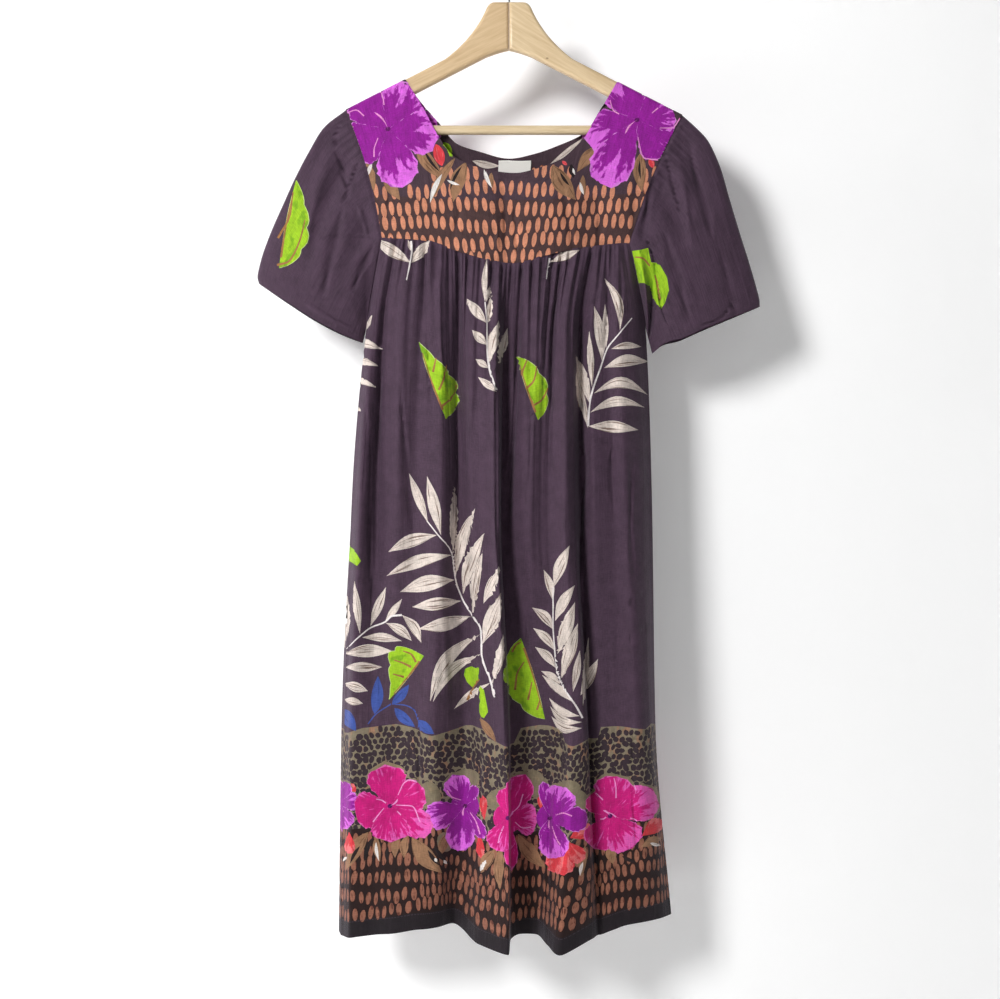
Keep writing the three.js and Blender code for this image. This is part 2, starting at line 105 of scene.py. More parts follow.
paper, tree = new_material("backdrop_paper")
white = add_node(tree, "ShaderNodeBsdfDiffuse", {"Color": (0.96, 0.96, 0.96, 1)})
glow = add_node(tree, "ShaderNodeEmission", {"Color": (1, 1, 1, 1), "Strength": 0.13})
lit_paper = add_node(tree, "ShaderNodeAddShader", {0: white, 1: glow})
clear = add_node(tree, "ShaderNodeBsdfTransparent")
side_of = add_node(tree, "ShaderNodeNewGeometry")
choose = add_node(tree, "ShaderNodeMixShader", {0: side_of.outputs["Backfacing"], 1: lit_paper, 2: clear})
add_node(tree, "ShaderNodeOutputMaterial", {"Surface": choose})
wall_y, wall_top, floor_z, bend = 0.115, 1.6, -1.75, 0.25
floor_front, half_width, bend_steps = -3.2, 3.0, 8
profile = [(wall_y, wall_top), (wall_y, floor_z + bend)]
for step in range(1, bend_steps + 1):
    turn = step / bend_steps * math.pi / 2
    profile.append((wall_y - bend + bend * math.cos(turn), floor_z + bend - bend * math.sin(turn)))
profile.append((floor_front, floor_z))
points = [(x, y, z) for y, z in profile for x in (-half_width, half_width)]
faces = [(2 * i, 2 * i + 1, 2 * i + 3, 2 * i + 2) for i in range(len(profile) - 1)]
backdrop = mesh_piece("backdrop", points, faces, paper)
backdrop.data.flip_normals()


# Light: a soft main light from the upper left, one that grazes the folds from the left, a
# weak wide fill in front and one for the back.
def area_light(name, place, aim, size, power):
    data = bpy.data.lights.new(name, "AREA")
    data.shape = "DISK"
    data.size = size
    data.energy = power
    lamp = bpy.data.objects.new(name, data)
    lamp.location = place
    lamp.rotation_euler = (Vector(aim) - Vector(place)).to_track_quat("-Z", "Y").to_euler()
    bpy.context.collection.objects.link(lamp)


dress_middle = (0.0, 0.0, -0.65)
area_light("main_light", (-1.5, -2.25, 0.45), dress_middle, 0.75, 75)
area_light("side_light", (-2.6, -0.75, 0.1), dress_middle, 0.7, 18)
area_light("front_fill", (0.5, -3.0, -0.1), dress_middle, 1.6, 3)
area_light("back_light", (1.2, 2.2, 0.4), dress_middle, 1.2, 50)
world = bpy.data.worlds.new("room")
world.use_nodes = True
world.node_tree.nodes["Background"].inputs["Color"].default_value = (1, 1, 1, 1)
world.node_tree.nodes["Background"].inputs["Strength"].default_value = 0.08
scene.world = world


# Hanger arms: two flat halves of pale varnished wood, joined on the centre line,
# with rounded edges. The left half is a little darker, the right one has a small knot.
arm_slope, arm_top_centre, arm_reach, arm_deep = 0.515, -81.3, 206.0, 21.5
bar_drop, bar_end = -215.5, 190.3


def arm_top(x):
    return arm_top_centre - arm_slope * np.abs(x)


def bent(start, corner, end, steps=8):
    """Points after start on a curve that turns at corner."""
    turns = np.linspace(0, 1, steps + 1)[1:, None]
    start, corner, end = (np.array(spot, float) for spot in (start, corner, end))
    line = (1 - turns) ** 2 * start + 2 * turns * (1 - turns) * corner + turns ** 2 * end
    return [tuple(spot) for spot in line]


def arm_outline():
    def under(x):
        return arm_top(x) - arm_deep / math.cos(math.atan(arm_slope))
    tip = arm_top(arm_reach - 8)
    line = [(0.15, -50), (18, -50)]
    line += bent((18, -50), (27, -50), (31, -62), 5)
    line += bent((31, -62), (48, -98), (83, arm_top(83)), 12)
    line += [(arm_reach - 8, tip)]
    line += bent((arm_reach - 8, tip), (arm_reach, tip - 6), (arm_reach, bar_drop + 6), 5)
    line += [(arm_reach, bar_drop - 4)]
    line += bent(line[-1], (arm_reach - 2, bar_drop - 11), (arm_reach - 10, bar_drop - 11), 5)
    line += [(bar_end, bar_drop - 9), (bar_end, under(190)), (30, under(30))]
    line += bent((30, under(30)), (12, under(20) + 2), (0.15, under(20) + 4), 8)
    return line


def wood_material(name, pale, deep, lean, knot=None):
    """Long soft grain that follows the piece: lean is how far it slopes from level."""
    material, tree = new_material(name)
    place = add_node(tree, "ShaderNodeTexCoord").outputs["Object"]
    turned = add_node(tree, "ShaderNodeMapping", {"Vector": place, "Rotation": (0, lean, 0)})
    stretched = add_node(tree, "ShaderNodeMapping", {"Vector": turned, "Scale": (9, 90, 130)})
    grain = add_node(tree, "ShaderNodeTexNoise", {"Vector": stretched, "Scale": 2.2, "Detail": 6,
                                                  "Roughness": 0.62, "Distortion": 0.35})
    colours = add_node(tree, "ShaderNodeValToRGB", {"Fac": grain})
    for stop, position, colour in zip(colours.color_ramp.elements, (0.32, 0.66), (deep, pale)):
        stop.position, stop.color = position, (*colour, 1)
    shade = colours.outputs[0]
    if knot:
        flat = add_node(tree, "ShaderNodeMapping", {"Vector": place, "Scale": (1, 0, 1.5)})
        ring = add_node(tree, "ShaderNodeVectorMath", {0: flat, 1: (knot[0], 0, knot[1] * 1.5)},
                        operation="DISTANCE")
        near = add_node(tree, "ShaderNodeMapRange", {
            "Value": ring.outputs["Value"], "From Min": 0.0006, "From Max": 0.0024,
            "To Min": 0.75, "To Max": 0.0})
        blend = add_node(tree, "ShaderNodeMix", {0: near, 6: shade, 7: (0.16, 0.07, 0.03, 1)},
                         data_type="RGBA")
        shade = blend.outputs[2]
    bump = add_node(tree, "ShaderNodeBump", {"Height": grain, "Strength": 0.12, "Distance": 0.0004})
    skin = add_node(tree, "ShaderNodeBsdfPrincipled", {
        "Base Color": shade, "Normal": bump, "Roughness": 0.42, "Coat Weight": 0.18, "Coat Roughness": 0.3})
    add_node(tree, "ShaderNodeOutputMaterial", {"Surface": skin})
    return material


arm_half_depth, arm_round = 0.006, 0.004
for name, side in (("left", -1), ("right", 1)):
    curve = bpy.data.curves.new(f"arm_{name}", "CURVE")
    curve.dimensions = "2D"
    curve.fill_mode = "BOTH"
    curve.extrude = arm_half_depth - arm_round
    curve.bevel_depth = arm_round
    curve.bevel_resolution = 3
    curve.offset = -arm_round
    outline = arm_outline()
    spline = curve.splines.new("POLY")
    spline.points.add(len(outline) - 1)
    for spot, (x, z) in zip(spline.points, outline):
        spot.co = (side * x * 0.001, z * 0.001, 0, 1)
    spline.use_cyclic_u = True
    holder = bpy.data.objects.new("arm_curve", curve)
    bpy.context.collection.objects.link(holder)
    bpy.context.view_layer.update()
    mesh = bpy.data.meshes.new_from_object(holder.evaluated_get(bpy.context.evaluated_depsgraph_get()))
    bpy.data.objects.remove(holder)
    for vertex in mesh.vertices:
        x, up, out = vertex.co
        vertex.co = (x, -out, up)
    arm = bpy.data.objects.new(f"wood_arm_{name}", mesh)
    bpy.context.collection.objects.link(arm)
    mesh.materials.clear()
    if side < 0:
        mesh.materials.append(wood_material("wood_left", (0.64, 0.47, 0.275), (0.52, 0.355, 0.19), 0.476))
    else:
        mesh.materials.append(wood_material("wood_right", (0.72, 0.56, 0.35), (0.57, 0.41, 0.23), -0.56,
                                            knot=(0.0494, -0.124)))
    mesh.shade_smooth()
    mesh.set_sharp_from_angle(angle=math.radians(40))
    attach(arm, "root")
    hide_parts(f"hanger_arm_{name}")


# Hanger bar: a round wooden rod let into the arms' ends, lathe turned and varnished.
sides, bar_radius = 32, 6.0
stations = [(-189.9, 5.2), (-189.2, bar_radius), (-120, bar_radius), (-60, 5.96), (0, bar_radius),
            (60, 5.97), (120, bar_radius), (189.2, bar_radius), (189.9, 5.2)]
points = []
for x, radius in stations:
    for k in range(sides):
        turn = 2 * math.pi * k / sides
        z = bar_drop + radius * math.sin(turn)
        points.append((x / 1000, radius / 1000 * math.cos(turn), z / 1000))
faces = [list(range(sides)), list(range(len(points) - 1, len(points) - 1 - sides, -1))]
for row in range(len(stations) - 1):
    for k in range(sides):
        a, b = row * sides + k, row * sides + (k + 1) % sides
        faces.append((a, a + sides, b + sides, b))
bar = mesh_piece("wood_bar", points, faces, wood_material(
    "wood_bar", (0.74, 0.59, 0.38), (0.60, 0.45, 0.26), 0.0))
bar.data.set_sharp_from_angle(angle=math.radians(40))
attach(bar, "root")
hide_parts("hanger_bar")


# Hanger hook: one bright plated wire bent to a loop, its end rounded, let into the peak.
wire_radius, hook_radius = 1.75, 21.75
first_turn, sweep, sweep_steps = -62, 267, 48
hook_centre = wire_radius - hook_radius
route = [(0, -49.7), (0, -48), (0, -45)]
for step in range(sweep_steps + 1):
    turn = math.radians(first_turn + step * sweep / sweep_steps)
    route.append((hook_radius * math.cos(turn), hook_centre + hook_radius * math.sin(turn)))
join = np.array(route[2]), np.array(route[3])
lead = [tuple((1 - s) ** 2 * join[0] + 2 * s * (1 - s) * np.array((1.5, -41.5)) + s * s * join[1])
        for s in (0.25, 0.5, 0.75)]
route = route[:3] + lead + route[3:]
radii = [1.0] * len(route)
last_x, last_z = route[-1]
away = np.array(route[-1]) - np.array(route[-2])
away = away / np.linalg.norm(away)
for reach, radius in ((0.7, 0.92), (1.2, 0.72), (1.6, 0.4), (1.75, 0.02)):
    route.append((last_x + away[0] * reach, last_z + away[1] * reach))
    radii.append(radius)
wire = bpy.data.curves.new("hook_wire", "CURVE")
wire.dimensions = "3D"
wire.bevel_depth = wire_radius / 1000
wire.bevel_resolution = 5
wire.use_fill_caps = True
spline = wire.splines.new("POLY")
spline.points.add(len(route) - 1)
for spot, (x, z), radius in zip(spline.points, route, radii):
    spot.co = (x / 1000, 0, z / 1000, 1)
    spot.radius = radius
hook = bpy.data.objects.new("hook_wire", wire)
bpy.context.collection.objects.link(hook)
plated, tree = new_material("plated_wire")
place = add_node(tree, "ShaderNodeTexCoord")
marks = add_node(tree, "ShaderNodeTexNoise", {"Vector": place.outputs["Object"], "Scale": 420, "Detail": 4,
                                              "Roughness": 0.6})
rough = add_node(tree, "ShaderNodeMapRange", {"Value": marks, "To Min": 0.16, "To Max": 0.32})
bump = add_node(tree, "ShaderNodeBump", {"Height": marks, "Strength": 0.08, "Distance": 0.0001})
metal = add_node(tree, "ShaderNodeBsdfPrincipled", {
    "Metallic": 1.0, "Base Color": (0.66, 0.66, 0.67, 1), "Roughness": rough, "Normal": bump})
add_node(tree, "ShaderNodeOutputMaterial", {"Surface": metal})
wire.materials.append(plated)
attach(hook, "root")
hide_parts("hanger_hook")


# Printed cotton: thin, soft, dark aubergine cloth with a tropical print. Each face of a cloth
# piece carries the ink of its motif, a second ink (tint) that feathers into it along the
# motif (grain), and its place on the flat cloth (cut, in metres) for the slubs and the weave.
def printed_cotton():
    material, tree = new_material("printed_cotton")
    ink, tint, grain, cut = [add_node(tree, "ShaderNodeAttribute", attribute_name=name)
                             for name in ("ink", "tint", "grain", "cut")]
    cut = cut.outputs["Vector"]
    streak = add_node(tree, "ShaderNodeTexNoise", {"Vector": grain.outputs["Vector"], "Scale": 1.0,
                                                   "Detail": 3, "Roughness": 0.55})
    spread = add_node(tree, "ShaderNodeMapRange", {"Value": streak, "From Min": 0.36, "From Max": 0.64,
                                                   "To Min": -1.6, "To Max": 1.6}, clamp=False)
    shift = add_node(tree, "ShaderNodeMath", {0: spread, 1: -3.5}, operation="ADD")
    weight = add_node(tree, "ShaderNodeMath", {0: tint.outputs["Alpha"], 1: 8.0, 2: shift},
                      operation="MULTIPLY_ADD", use_clamp=True)
    printed = add_node(tree, "ShaderNodeMix", {
        0: weight, 6: ink.outputs["Color"], 7: tint.outputs["Color"]}, data_type="RGBA")
    # slubs: short uneven threads both ways, and soft patches where the dye took less
    slubs = []
    for scale in ((900, 120, 1), (130, 1000, 1), (60, 60, 1)):
        threads = add_node(tree, "ShaderNodeMapping", {"Vector": cut, "Scale": scale})
        slubs.append(add_node(tree, "ShaderNodeTexNoise", {"Vector": threads, "Scale": 1.0, "Detail": 2,
                                                           "Roughness": 0.5}))
    both_ways = add_node(tree, "ShaderNodeMath", {0: slubs[0], 1: slubs[1]}, operation="ADD")
    all_slubs = add_node(tree, "ShaderNodeMath", {0: both_ways, 1: slubs[2]}, operation="ADD")
    shade = add_node(tree, "ShaderNodeMapRange", {"Value": all_slubs, "From Min": 1.1, "From Max": 1.9,
                                                  "To Min": 0.53, "To Max": 0.93})
    worn = add_node(tree, "ShaderNodeVectorMath", {0: printed.outputs[2], "Scale": shade},
                    operation="SCALE")
    fine = add_node(tree, "ShaderNodeMapping", {"Vector": cut, "Scale": (900, 900, 1)})
    weave = add_node(tree, "ShaderNodeTexBrick", {
        "Vector": fine, "Scale": 1.0, "Mortar Size": 0.012, "Mortar Smooth": 0.8, "Row Height": 0.25,
        "Brick Width": 0.5})
    height = add_node(tree, "ShaderNodeMath", {0: both_ways, 1: weave.outputs["Fac"]}, operation="ADD")
    # small soft wrinkles that run down the cloth, too fine for the folds of the form
    lengthwise = add_node(tree, "ShaderNodeMapping", {"Vector": cut, "Scale": (75, 5.5, 1),
                                                      "Rotation": (0, 0, 0.03)})
    wrinkles = add_node(tree, "ShaderNodeTexNoise", {"Vector": lengthwise, "Scale": 1.0, "Detail": 4,
                                                     "Roughness": 0.6, "Distortion": 0.5})
    soft = add_node(tree, "ShaderNodeBump", {"Height": wrinkles, "Strength": 0.5, "Distance": 0.0035})
    bump = add_node(tree, "ShaderNodeBump", {"Height": height, "Normal": soft, "Strength": 0.3,
                                             "Distance": 0.00028})
    skin = add_node(tree, "ShaderNodeBsdfPrincipled", {
        "Base Color": worn, "Normal": bump, "Roughness": 0.8, "Sheen Weight": 0.12, "Sheen Roughness": 0.45,
        "Sheen Tint": (0.95, 0.85, 1.0, 1), "Specular IOR Level": 0.28})
    add_node(tree, "ShaderNodeOutputMaterial", {"Surface": skin})
    return material


cotton = printed_cotton()


def dye(red, green, blue):
    """A colour as seen on screen, 0 to 255, as the linear colour that a shader takes."""
    return tuple(((c / 255 + 0.055) / 1.055) ** 2.4 if c > 10 else c / 3295 for c in (red, green, blue))


# Inks: first and second colour, then how much of the second shows (0 to 1), everywhere and
# more towards the sides; then how many streaks there are across a motif, and how long they
# are in mm.
inks = {
    "body": (dye(78, 57, 75), dye(60, 44, 58), 0, 0, 1, 20),
    "hem": (dye(32, 24, 30), dye(24, 18, 22), 0, 0, 1, 20),
    "dark": (dye(38, 18, 16), dye(48, 24, 20), 0, 0, 1, 20),
    "yoke": (dye(76, 56, 66), dye(56, 38, 46), 0, 0, 1, 20),
    "yoke_low": (dye(78, 54, 54), dye(56, 38, 40), 0, 0, 1, 20),
    "thread": (dye(70, 58, 68), dye(70, 58, 68), 0, 0, 1, 20),
    "pelt": (dye(140, 128, 106), dye(164, 126, 100), 0.38, 0, 1, 20),
    "olive": (dye(136, 124, 100), dye(150, 132, 104), 0.38, 0, 1, 20),
    "spot": (dye(56, 42, 50), dye(40, 30, 36), 0.3, 0, 2, 20),
    "oval": (dye(222, 148, 116), dye(140, 74, 50), 0.05, 0.38, 2, 20),
    "hem_oval": (dye(160, 104, 82), dye(100, 52, 40), 0.06, 0.38, 2, 20),
    "cream": (dye(238, 224, 214), dye(128, 104, 92), 0.38, 0, 5, 45),
    "stem": (dye(250, 242, 240), dye(226, 216, 214), 0.3, 0, 1, 20),
    "lime": (dye(166, 212, 34), dye(130, 180, 24), 0.36, 0, 3, 20),
    "lime_rim": (dye(222, 238, 160), dye(200, 226, 120), 0.4, 0, 1, 20),
    "vein": (dye(172, 120, 68), dye(150, 100, 54), 0.36, 0, 1, 10),
    "magenta": (dye(214, 18, 128), dye(244, 96, 192), 0.24, 0.1, 12, 16),
    "violet": (dye(158, 22, 160), dye(236, 112, 238), 0.10, 0.1, 12, 14),
    "magenta_rim": (dye(240, 108, 190), dye(206, 40, 140), 0.38, 0, 9, 12),
    "violet_rim": (dye(232, 140, 232), dye(180, 60, 190), 0.38, 0, 9, 12),
    "coral": (dye(232, 62, 72), dye(248, 122, 126), 0.34, 0.1, 4, 16),
    "tan": (dye(166, 124, 92), dye(116, 82, 60), 0.34, 0.08, 4, 26),
    "soot": (dye(34, 24, 26), dye(60, 42, 38), 0.3, 0, 3, 14),
    "white": (dye(252, 246, 242), dye(216, 200, 192), 0.36, 0, 3, 20),
    "blue": (dye(66, 90, 170), dye(50, 70, 142), 0.36, 0, 3, 26),
    "pink_line": (dye(252, 160, 226), dye(244, 124, 208), 0.3, 0, 1, 10),
    "throat": (dye(104, 6, 104), dye(66, 0, 66), 0.4, 0, 2, 10),
}


# The cloth's own form: the same tables of folds as the solids have, in mm, with finer
# gathers and creases. across and down run from 0 to 1 over a piece, side is -1 in front.
def smooth_curve(ts, vs, t):
    """A curve through (ts, vs) that never overshoots. vs may hold one row for each t."""
    ts, vs = np.asarray(ts, float), np.asarray(vs, float)
    t = np.asarray(t, float)
    slopes = np.diff(vs, axis=-1) / np.diff(ts)
    before, after = slopes[..., :-1], slopes[..., 1:]
    total = np.where(before + after == 0, 1.0, before + after)
    middle = np.where(before * after > 0, 2 * before * after / total, 0.0)
    tangents = np.concatenate([slopes[..., :1], middle, slopes[..., -1:]], axis=-1)
    i = np.clip(np.searchsorted(ts, t, side="right") - 1, 0, len(ts) - 2)

    def pick(rows, k):
        return rows[k] if rows.ndim == 1 else np.take_along_axis(rows, k[:, None], axis=1)[:, 0]
    span = ts[i + 1] - ts[i]
    s = np.clip((t - ts[i]) / span, 0, 1)
    low, high = pick(vs, i), pick(vs, i + 1)
    leave = s * (1 - s) ** 2 * span * pick(tangents, i)
    arrive = s * s * (s - 1) * span * pick(tangents, i + 1)
    return low + (high - low) * s * s * (3 - 2 * s) + leave + arrive


def smooth_step(t):
    s = np.clip(t, 0, 1)
    return s * s * (3 - 2 * s)


def mix(a, b, t):
    return a + (b - a) * t


crease_strength = 1.9


def crease_height(px, py, creases):
    """How far creases lift the cloth (mm): each has a line of pixels, two widths, a height."""
    height = np.zeros_like(px)
    for line, left, right, rise in creases:
        line = np.array(line, float)
        run = np.abs(np.diff(line, axis=0)).sum(axis=0)
        steep = run[1] >= run[0]
        along, off = (py, px) if steep else (px, py)
        order = np.argsort(line[:, 1 if steep else 0])
        line = line[order]
        ts, vs = (line[:, 1], line[:, 0]) if steep else (line[:, 0], line[:, 1])
        length = ts[-1] - ts[0]
        near = (along > ts[0]) & (along < ts[-1])
        if not near.any():
            continue
        a = along[near]
        t = (a - ts[0]) / length
        away = off[near] - smooth_curve(ts, vs, a)
        width = np.where(away < 0, left, right) * (0.8 + 0.35 * np.sin(9 * t + ts[0]))
        ease = np.sin(math.pi * t) ** 0.6 * (0.8 + 0.2 * np.sin(13 * t + vs[0]))
        height[near] += crease_strength * rise * ease * np.exp(-(away / width) ** 2)
    return height


# Folds of the panels from one side seam to the other: x and y at five levels, from the yoke's
# seam to the hem (levels are shares of the length), and the hem's height there.
levels = [0, 0.127, 0.375, 0.72, 1]
front_folds = [
    ([-164, -185, -204, -213, -216], [-14, -3, -3, -11, -20], -1255),
    ([-157, -174, -189, -198, -200], [-16, -18, -32, -38, -46], -1250),
    ([-144, -161, -171, -172, -173], [-17, -12, -14, -36, -44], -1247),
    ([-125, -136, -141, -144, -144], [-19, -28, -36, -34, -50], -1243),
    ([-109, -115, -123, -120, -115], [-20, -24, -30, -44, -48], -1239),
    ([-86, -88, -86, -95, -90], [-23, -34, -46, -60, -38], -1239),
    ([-69, -67, -64, -55, -70], [-22, -20, -24, -34, -12], -1243),
    ([-45, -50, -43, -31, -39], [-25, -36, -44, -58, -46], -1258),
    ([-9, -13, -13, -1, -1], [-27, -44, -60, -74, -80], -1260),
    ([-1, -7, -10, 2, 2], [-25, -22, -26, -38, -37], -1255),
    ([13, 8, 0, 17, 14], [-26, -27, -30, -32, -28], -1251),
    ([33, 29, 23, 41, 34], [-27, -42, -54, -34, -32], -1250),
    ([68, 56, 49, 64, 48], [-23, -30, -46, -50, -62], -1254),
    ([85, 70, 70, 79, 63], [-24, -44, -60, -70, -82], -1260),
    ([96, 80, 81, 98, 104], [-21, -38, -50, -64, -56], -1248),
    ([108, 92, 93, 102, 115], [-19, -18, -22, -34, -37], -1249),
    ([117, 106, 108, 123, 131], [-20, -34, -42, -36, -38], -1243),
    ([129, 124, 132, 141, 149], [-18, -28, -36, -38, -34], -1238),
    ([138, 139, 147, 162, 171], [-17, -32, -42, -46, -28], -1236),
    ([147, 158, 166, 179, 194], [-16, -24, -28, -32, -16], -1235),
    ([155, 178, 186, 191, 212], [-14, 2, 2, 4, 8], -1237),
]
back_folds = [
    ([-164, -185, -204, -213, -216], [14, -3, -3, -11, -20], -1255),
    ([-158, -180, -205, -219, -221], [17, 16, 16, 8, -2], -1254),
    ([-132, -150, -178, -190, -198], [17, 30, 38, 40, 30], -1250),
    ([-104, -120, -140, -155, -160], [19, 24, 24, 22, 18], -1244),
    ([-78, -86, -104, -112, -120], [20, 34, 44, 48, 50], -1248),
    ([-46, -52, -66, -76, -84], [21, 25, 26, 24, 20], -1244),
    ([-18, -20, -30, -36, -40], [22, 36, 46, 50, 52], -1249),
    ([12, 12, 8, 4, 2], [22, 26, 28, 26, 24], -1245),
    ([42, 44, 46, 48, 50], [21, 35, 46, 50, 54], -1249),
    ([70, 76, 84, 90, 94], [20, 25, 26, 24, 20], -1244),
    ([98, 108, 120, 126, 134], [19, 33, 42, 46, 48], -1248),
    ([126, 140, 152, 162, 172], [17, 24, 26, 26, 24], -1243),
    ([149, 172, 184, 190, 208], [18, 18, 21, 23, 26], -1240),
    ([155, 178, 186, 191, 212], [14, 2, 2, 4, 8], -1237),
]
seam_left, seam_right = -164.0, 155.0
front_seam = ([-164, -109, -61, 5, 48, 82, 155], [-358, -363, -379, -394, -383, -375, -365])
back_seam = ([-164, -61, 5, 82, 155], [-358, -366, -369, -367, -365])

# Creases of the front, by pixel: line, width to its left and to its right, height in mm before
# crease_strength (a ridge is +).
front_creases = [
    ([(503, 272), (500, 300), (494.5, 382), (493.5, 440), (494, 487), (496.5, 557), (500, 596),
      (501.5, 652), (504.5, 736), (508.5, 820), (510, 930)], 7, 2.2, 5.0),
    ([(519, 270), (518, 347), (515, 417), (510, 487), (506, 540)], 3.5, 2.5, -4.5),
    ([(566, 262), (560, 288), (554, 312), (552, 370), (552, 470)], 2.0, 1.4, -3.0),
    ([(593, 258), (594, 300), (582, 328), (579, 370), (580, 440), (586, 463), (582, 510), (580, 580),
      (583, 624), (586, 680), (588, 736), (590, 792), (593, 848), (598, 925)], 3.5, 2.5, -4.5),
    ([(457.5, 250), (458.5, 330), (457, 430), (459, 560)], 4, 3, -4.0),
    ([(385, 290), (380.5, 393), (378, 463), (376, 570)], 4, 3, -3.5),
    ([(371, 430), (370, 520), (372, 620)], 1.8, 1.5, -2.2),
    ([(399, 360), (401, 393), (415, 545)], 5, 3, -2.2),
    ([(425, 250), (427, 330), (432, 420)], 3, 3, -2.0),
    ([(438, 256), (441, 340), (445, 400)], 4, 2, 1.6),
    ([(480, 268), (474, 330), (470, 420), (466, 520)], 5, 4, 2.0),
    ([(536, 268), (534, 330), (531, 420), (527, 520)], 4, 3, -2.4),
    ([(545, 262), (543, 300), (540, 360)], 2, 2, 1.6),
    ([(613, 430), (612, 470), (613, 510)], 3, 3, -2.2),
    ([(632, 440), (631, 520), (634, 590)], 3, 3, -2.2),
    ([(606, 250), (608, 300), (605, 350)], 2.5, 2, -2.4),
    ([(619, 250), (622, 300), (618, 340)], 2.5, 2, -2.0),
    ([(419, 716), (418, 750), (421, 800)], 3, 3, -2.6),
    ([(481, 728), (480, 780), (483, 830)], 3, 3, -3.0),
    ([(549, 715), (550, 800), (547, 930)], 3.5, 2.5, -4.0),
    ([(633, 720), (634, 790), (637, 860)], 3, 3, -2.0),
    ([(618, 646), (636, 636), (652, 624)], 2, 2, -1.6),
    ([(616, 612), (634, 600), (652, 586)], 2, 2, -1.6),
    ([(628, 578), (640, 568), (652, 560)], 2, 2, -1.4),
    ([(360, 360), (366, 420), (362, 500)], 3, 3, -1.6),
    ([(524, 560), (528, 640), (531, 720)], 5, 4, -2.2),
    ([(440, 560), (446, 660), (450, 760)], 6, 5, 2.0),
    ([(560, 500), (562, 600), (566, 700)], 6, 4, -1.8),
]
# The back hangs in similar creases.
back_creases = [
    ([(380, 300), (372, 420), (366, 600)], 4, 3, 2.6),
    ([(412, 270), (404, 380), (398, 520)], 3, 3, 2.2),
    ([(447, 268), (440, 400), (434, 620)], 4, 3, 2.8),
    ([(478, 270), (474, 330), (470, 420)], 2.5, 2, 2.0),
    ([(506, 272), (503, 420), (500, 640)], 3, 4, 3.2),
    ([(531, 270), (530, 350), (533, 470)], 2.5, 2, 2.0),
    ([(560, 268), (564, 400), (570, 580)], 4, 3, 2.8),
    ([(590, 264), (600, 380), (606, 500)], 3, 3, 2.2),
    ([(612, 264), (624, 400), (632, 600)], 3, 3, 2.4),
    ([(400, 640), (394, 760), (390, 900)], 4, 4, -2.6),
    ([(470, 660), (466, 780), (462, 920)], 4, 4, -2.6),
    ([(545, 650), (548, 780), (552, 920)], 4, 4, -2.6),
    ([(610, 640), (616, 780), (622, 900)], 4, 4, -2.6),
    ([(380, 640), (400, 628), (424, 622)], 2, 2, 1.4),
    ([(580, 560), (604, 572), (634, 590)], 2, 2, 1.4),
]


# Gathers at the yoke's seam: how many, how deep (mm) and the share of the length in which
# they fade, first the large ones, then the fine ones on them. The tuck takes the edge in under
# the seam. At the armholes the cloth bows out, down to the underarm.
gathers_across, gather_depth, gather_reach, gather_start = 24, 4.6, 0.15, 0.25
fine_gathers, fine_depth, fine_reach = 53, 1.3, 0.06
tuck_depth, tuck_reach, side_reach, seam_rise = 1.3, 0.01, 0.03, 1.5
armhole_bow, armhole_reach, underarm_down = 6, 0.045, 0.127


def panel_form(folds, seam, side, creases):
    columns_x = np.array([fold[0] for fold in folds], float)
    columns_y = np.array([fold[1] for fold in folds], float)
    hems = np.array([fold[2] for fold in folds], float)
    places = (columns_x[:, 0] - seam_left) / (seam_right - seam_left)

    def form(across, down):
        place = across + 0.005 * np.sin(31 * across) * np.sin(math.pi * across)
        fold_x = np.stack([smooth_curve(levels, row, down) for row in columns_x], axis=1)
        fold_y = np.stack([smooth_curve(levels, row, down) for row in columns_y], axis=1)
        x = smooth_curve(places, fold_x, place)
        y = smooth_curve(places, fold_y, place)
        ends = np.clip(np.sin(math.pi * across), 0, 1) ** 0.3
        start = smooth_step(down / 0.012) * (1 - gather_start) + gather_start
        uneven = 0.75 + 0.25 * np.sin(47 * across + side)
        crest = np.cos(2 * math.pi * gathers_across * across + 1.2 * np.sin(9 * across))
        crest = crest - 0.35 * (crest ** 2 - 0.5)
        gather = gather_depth * start * np.exp(-down / gather_reach) * uneven * crest
        ripple = np.sin(2 * math.pi * fine_gathers * across + 3 * np.sin(19 * across))
        fine = fine_depth * start * np.exp(-down / fine_reach) * ripple
        from_side = np.minimum(across, 1 - across)
        edge = smooth_step(from_side / side_reach)
        tuck = tuck_depth * (1 - smooth_step(down / tuck_reach)) * edge
        bow = 0.0
        if side > 0:
            bow = armhole_bow * np.sin(math.pi * np.minimum(1, down / underarm_down))
            bow = bow * np.exp(-(from_side / armhole_reach) ** 2)
        y = y + side * ((gather + fine) * ends + bow - tuck)
        z = mix(smooth_curve(*seam, seam_left + (seam_right - seam_left) * place) + seam_rise * edge,
                smooth_curve(places, hems, place), down)
        points = np.stack([x, y, z], axis=1)
        px, py = photo_place(points)
        points[:, 1] += side * crease_height(px, py, creases) * edge * (1 if side < 0 else -1)
        return points
    return form


front_form = panel_form(front_folds, front_seam, -1, front_creases)
back_form = panel_form(back_folds, back_seam, 1, back_creases)

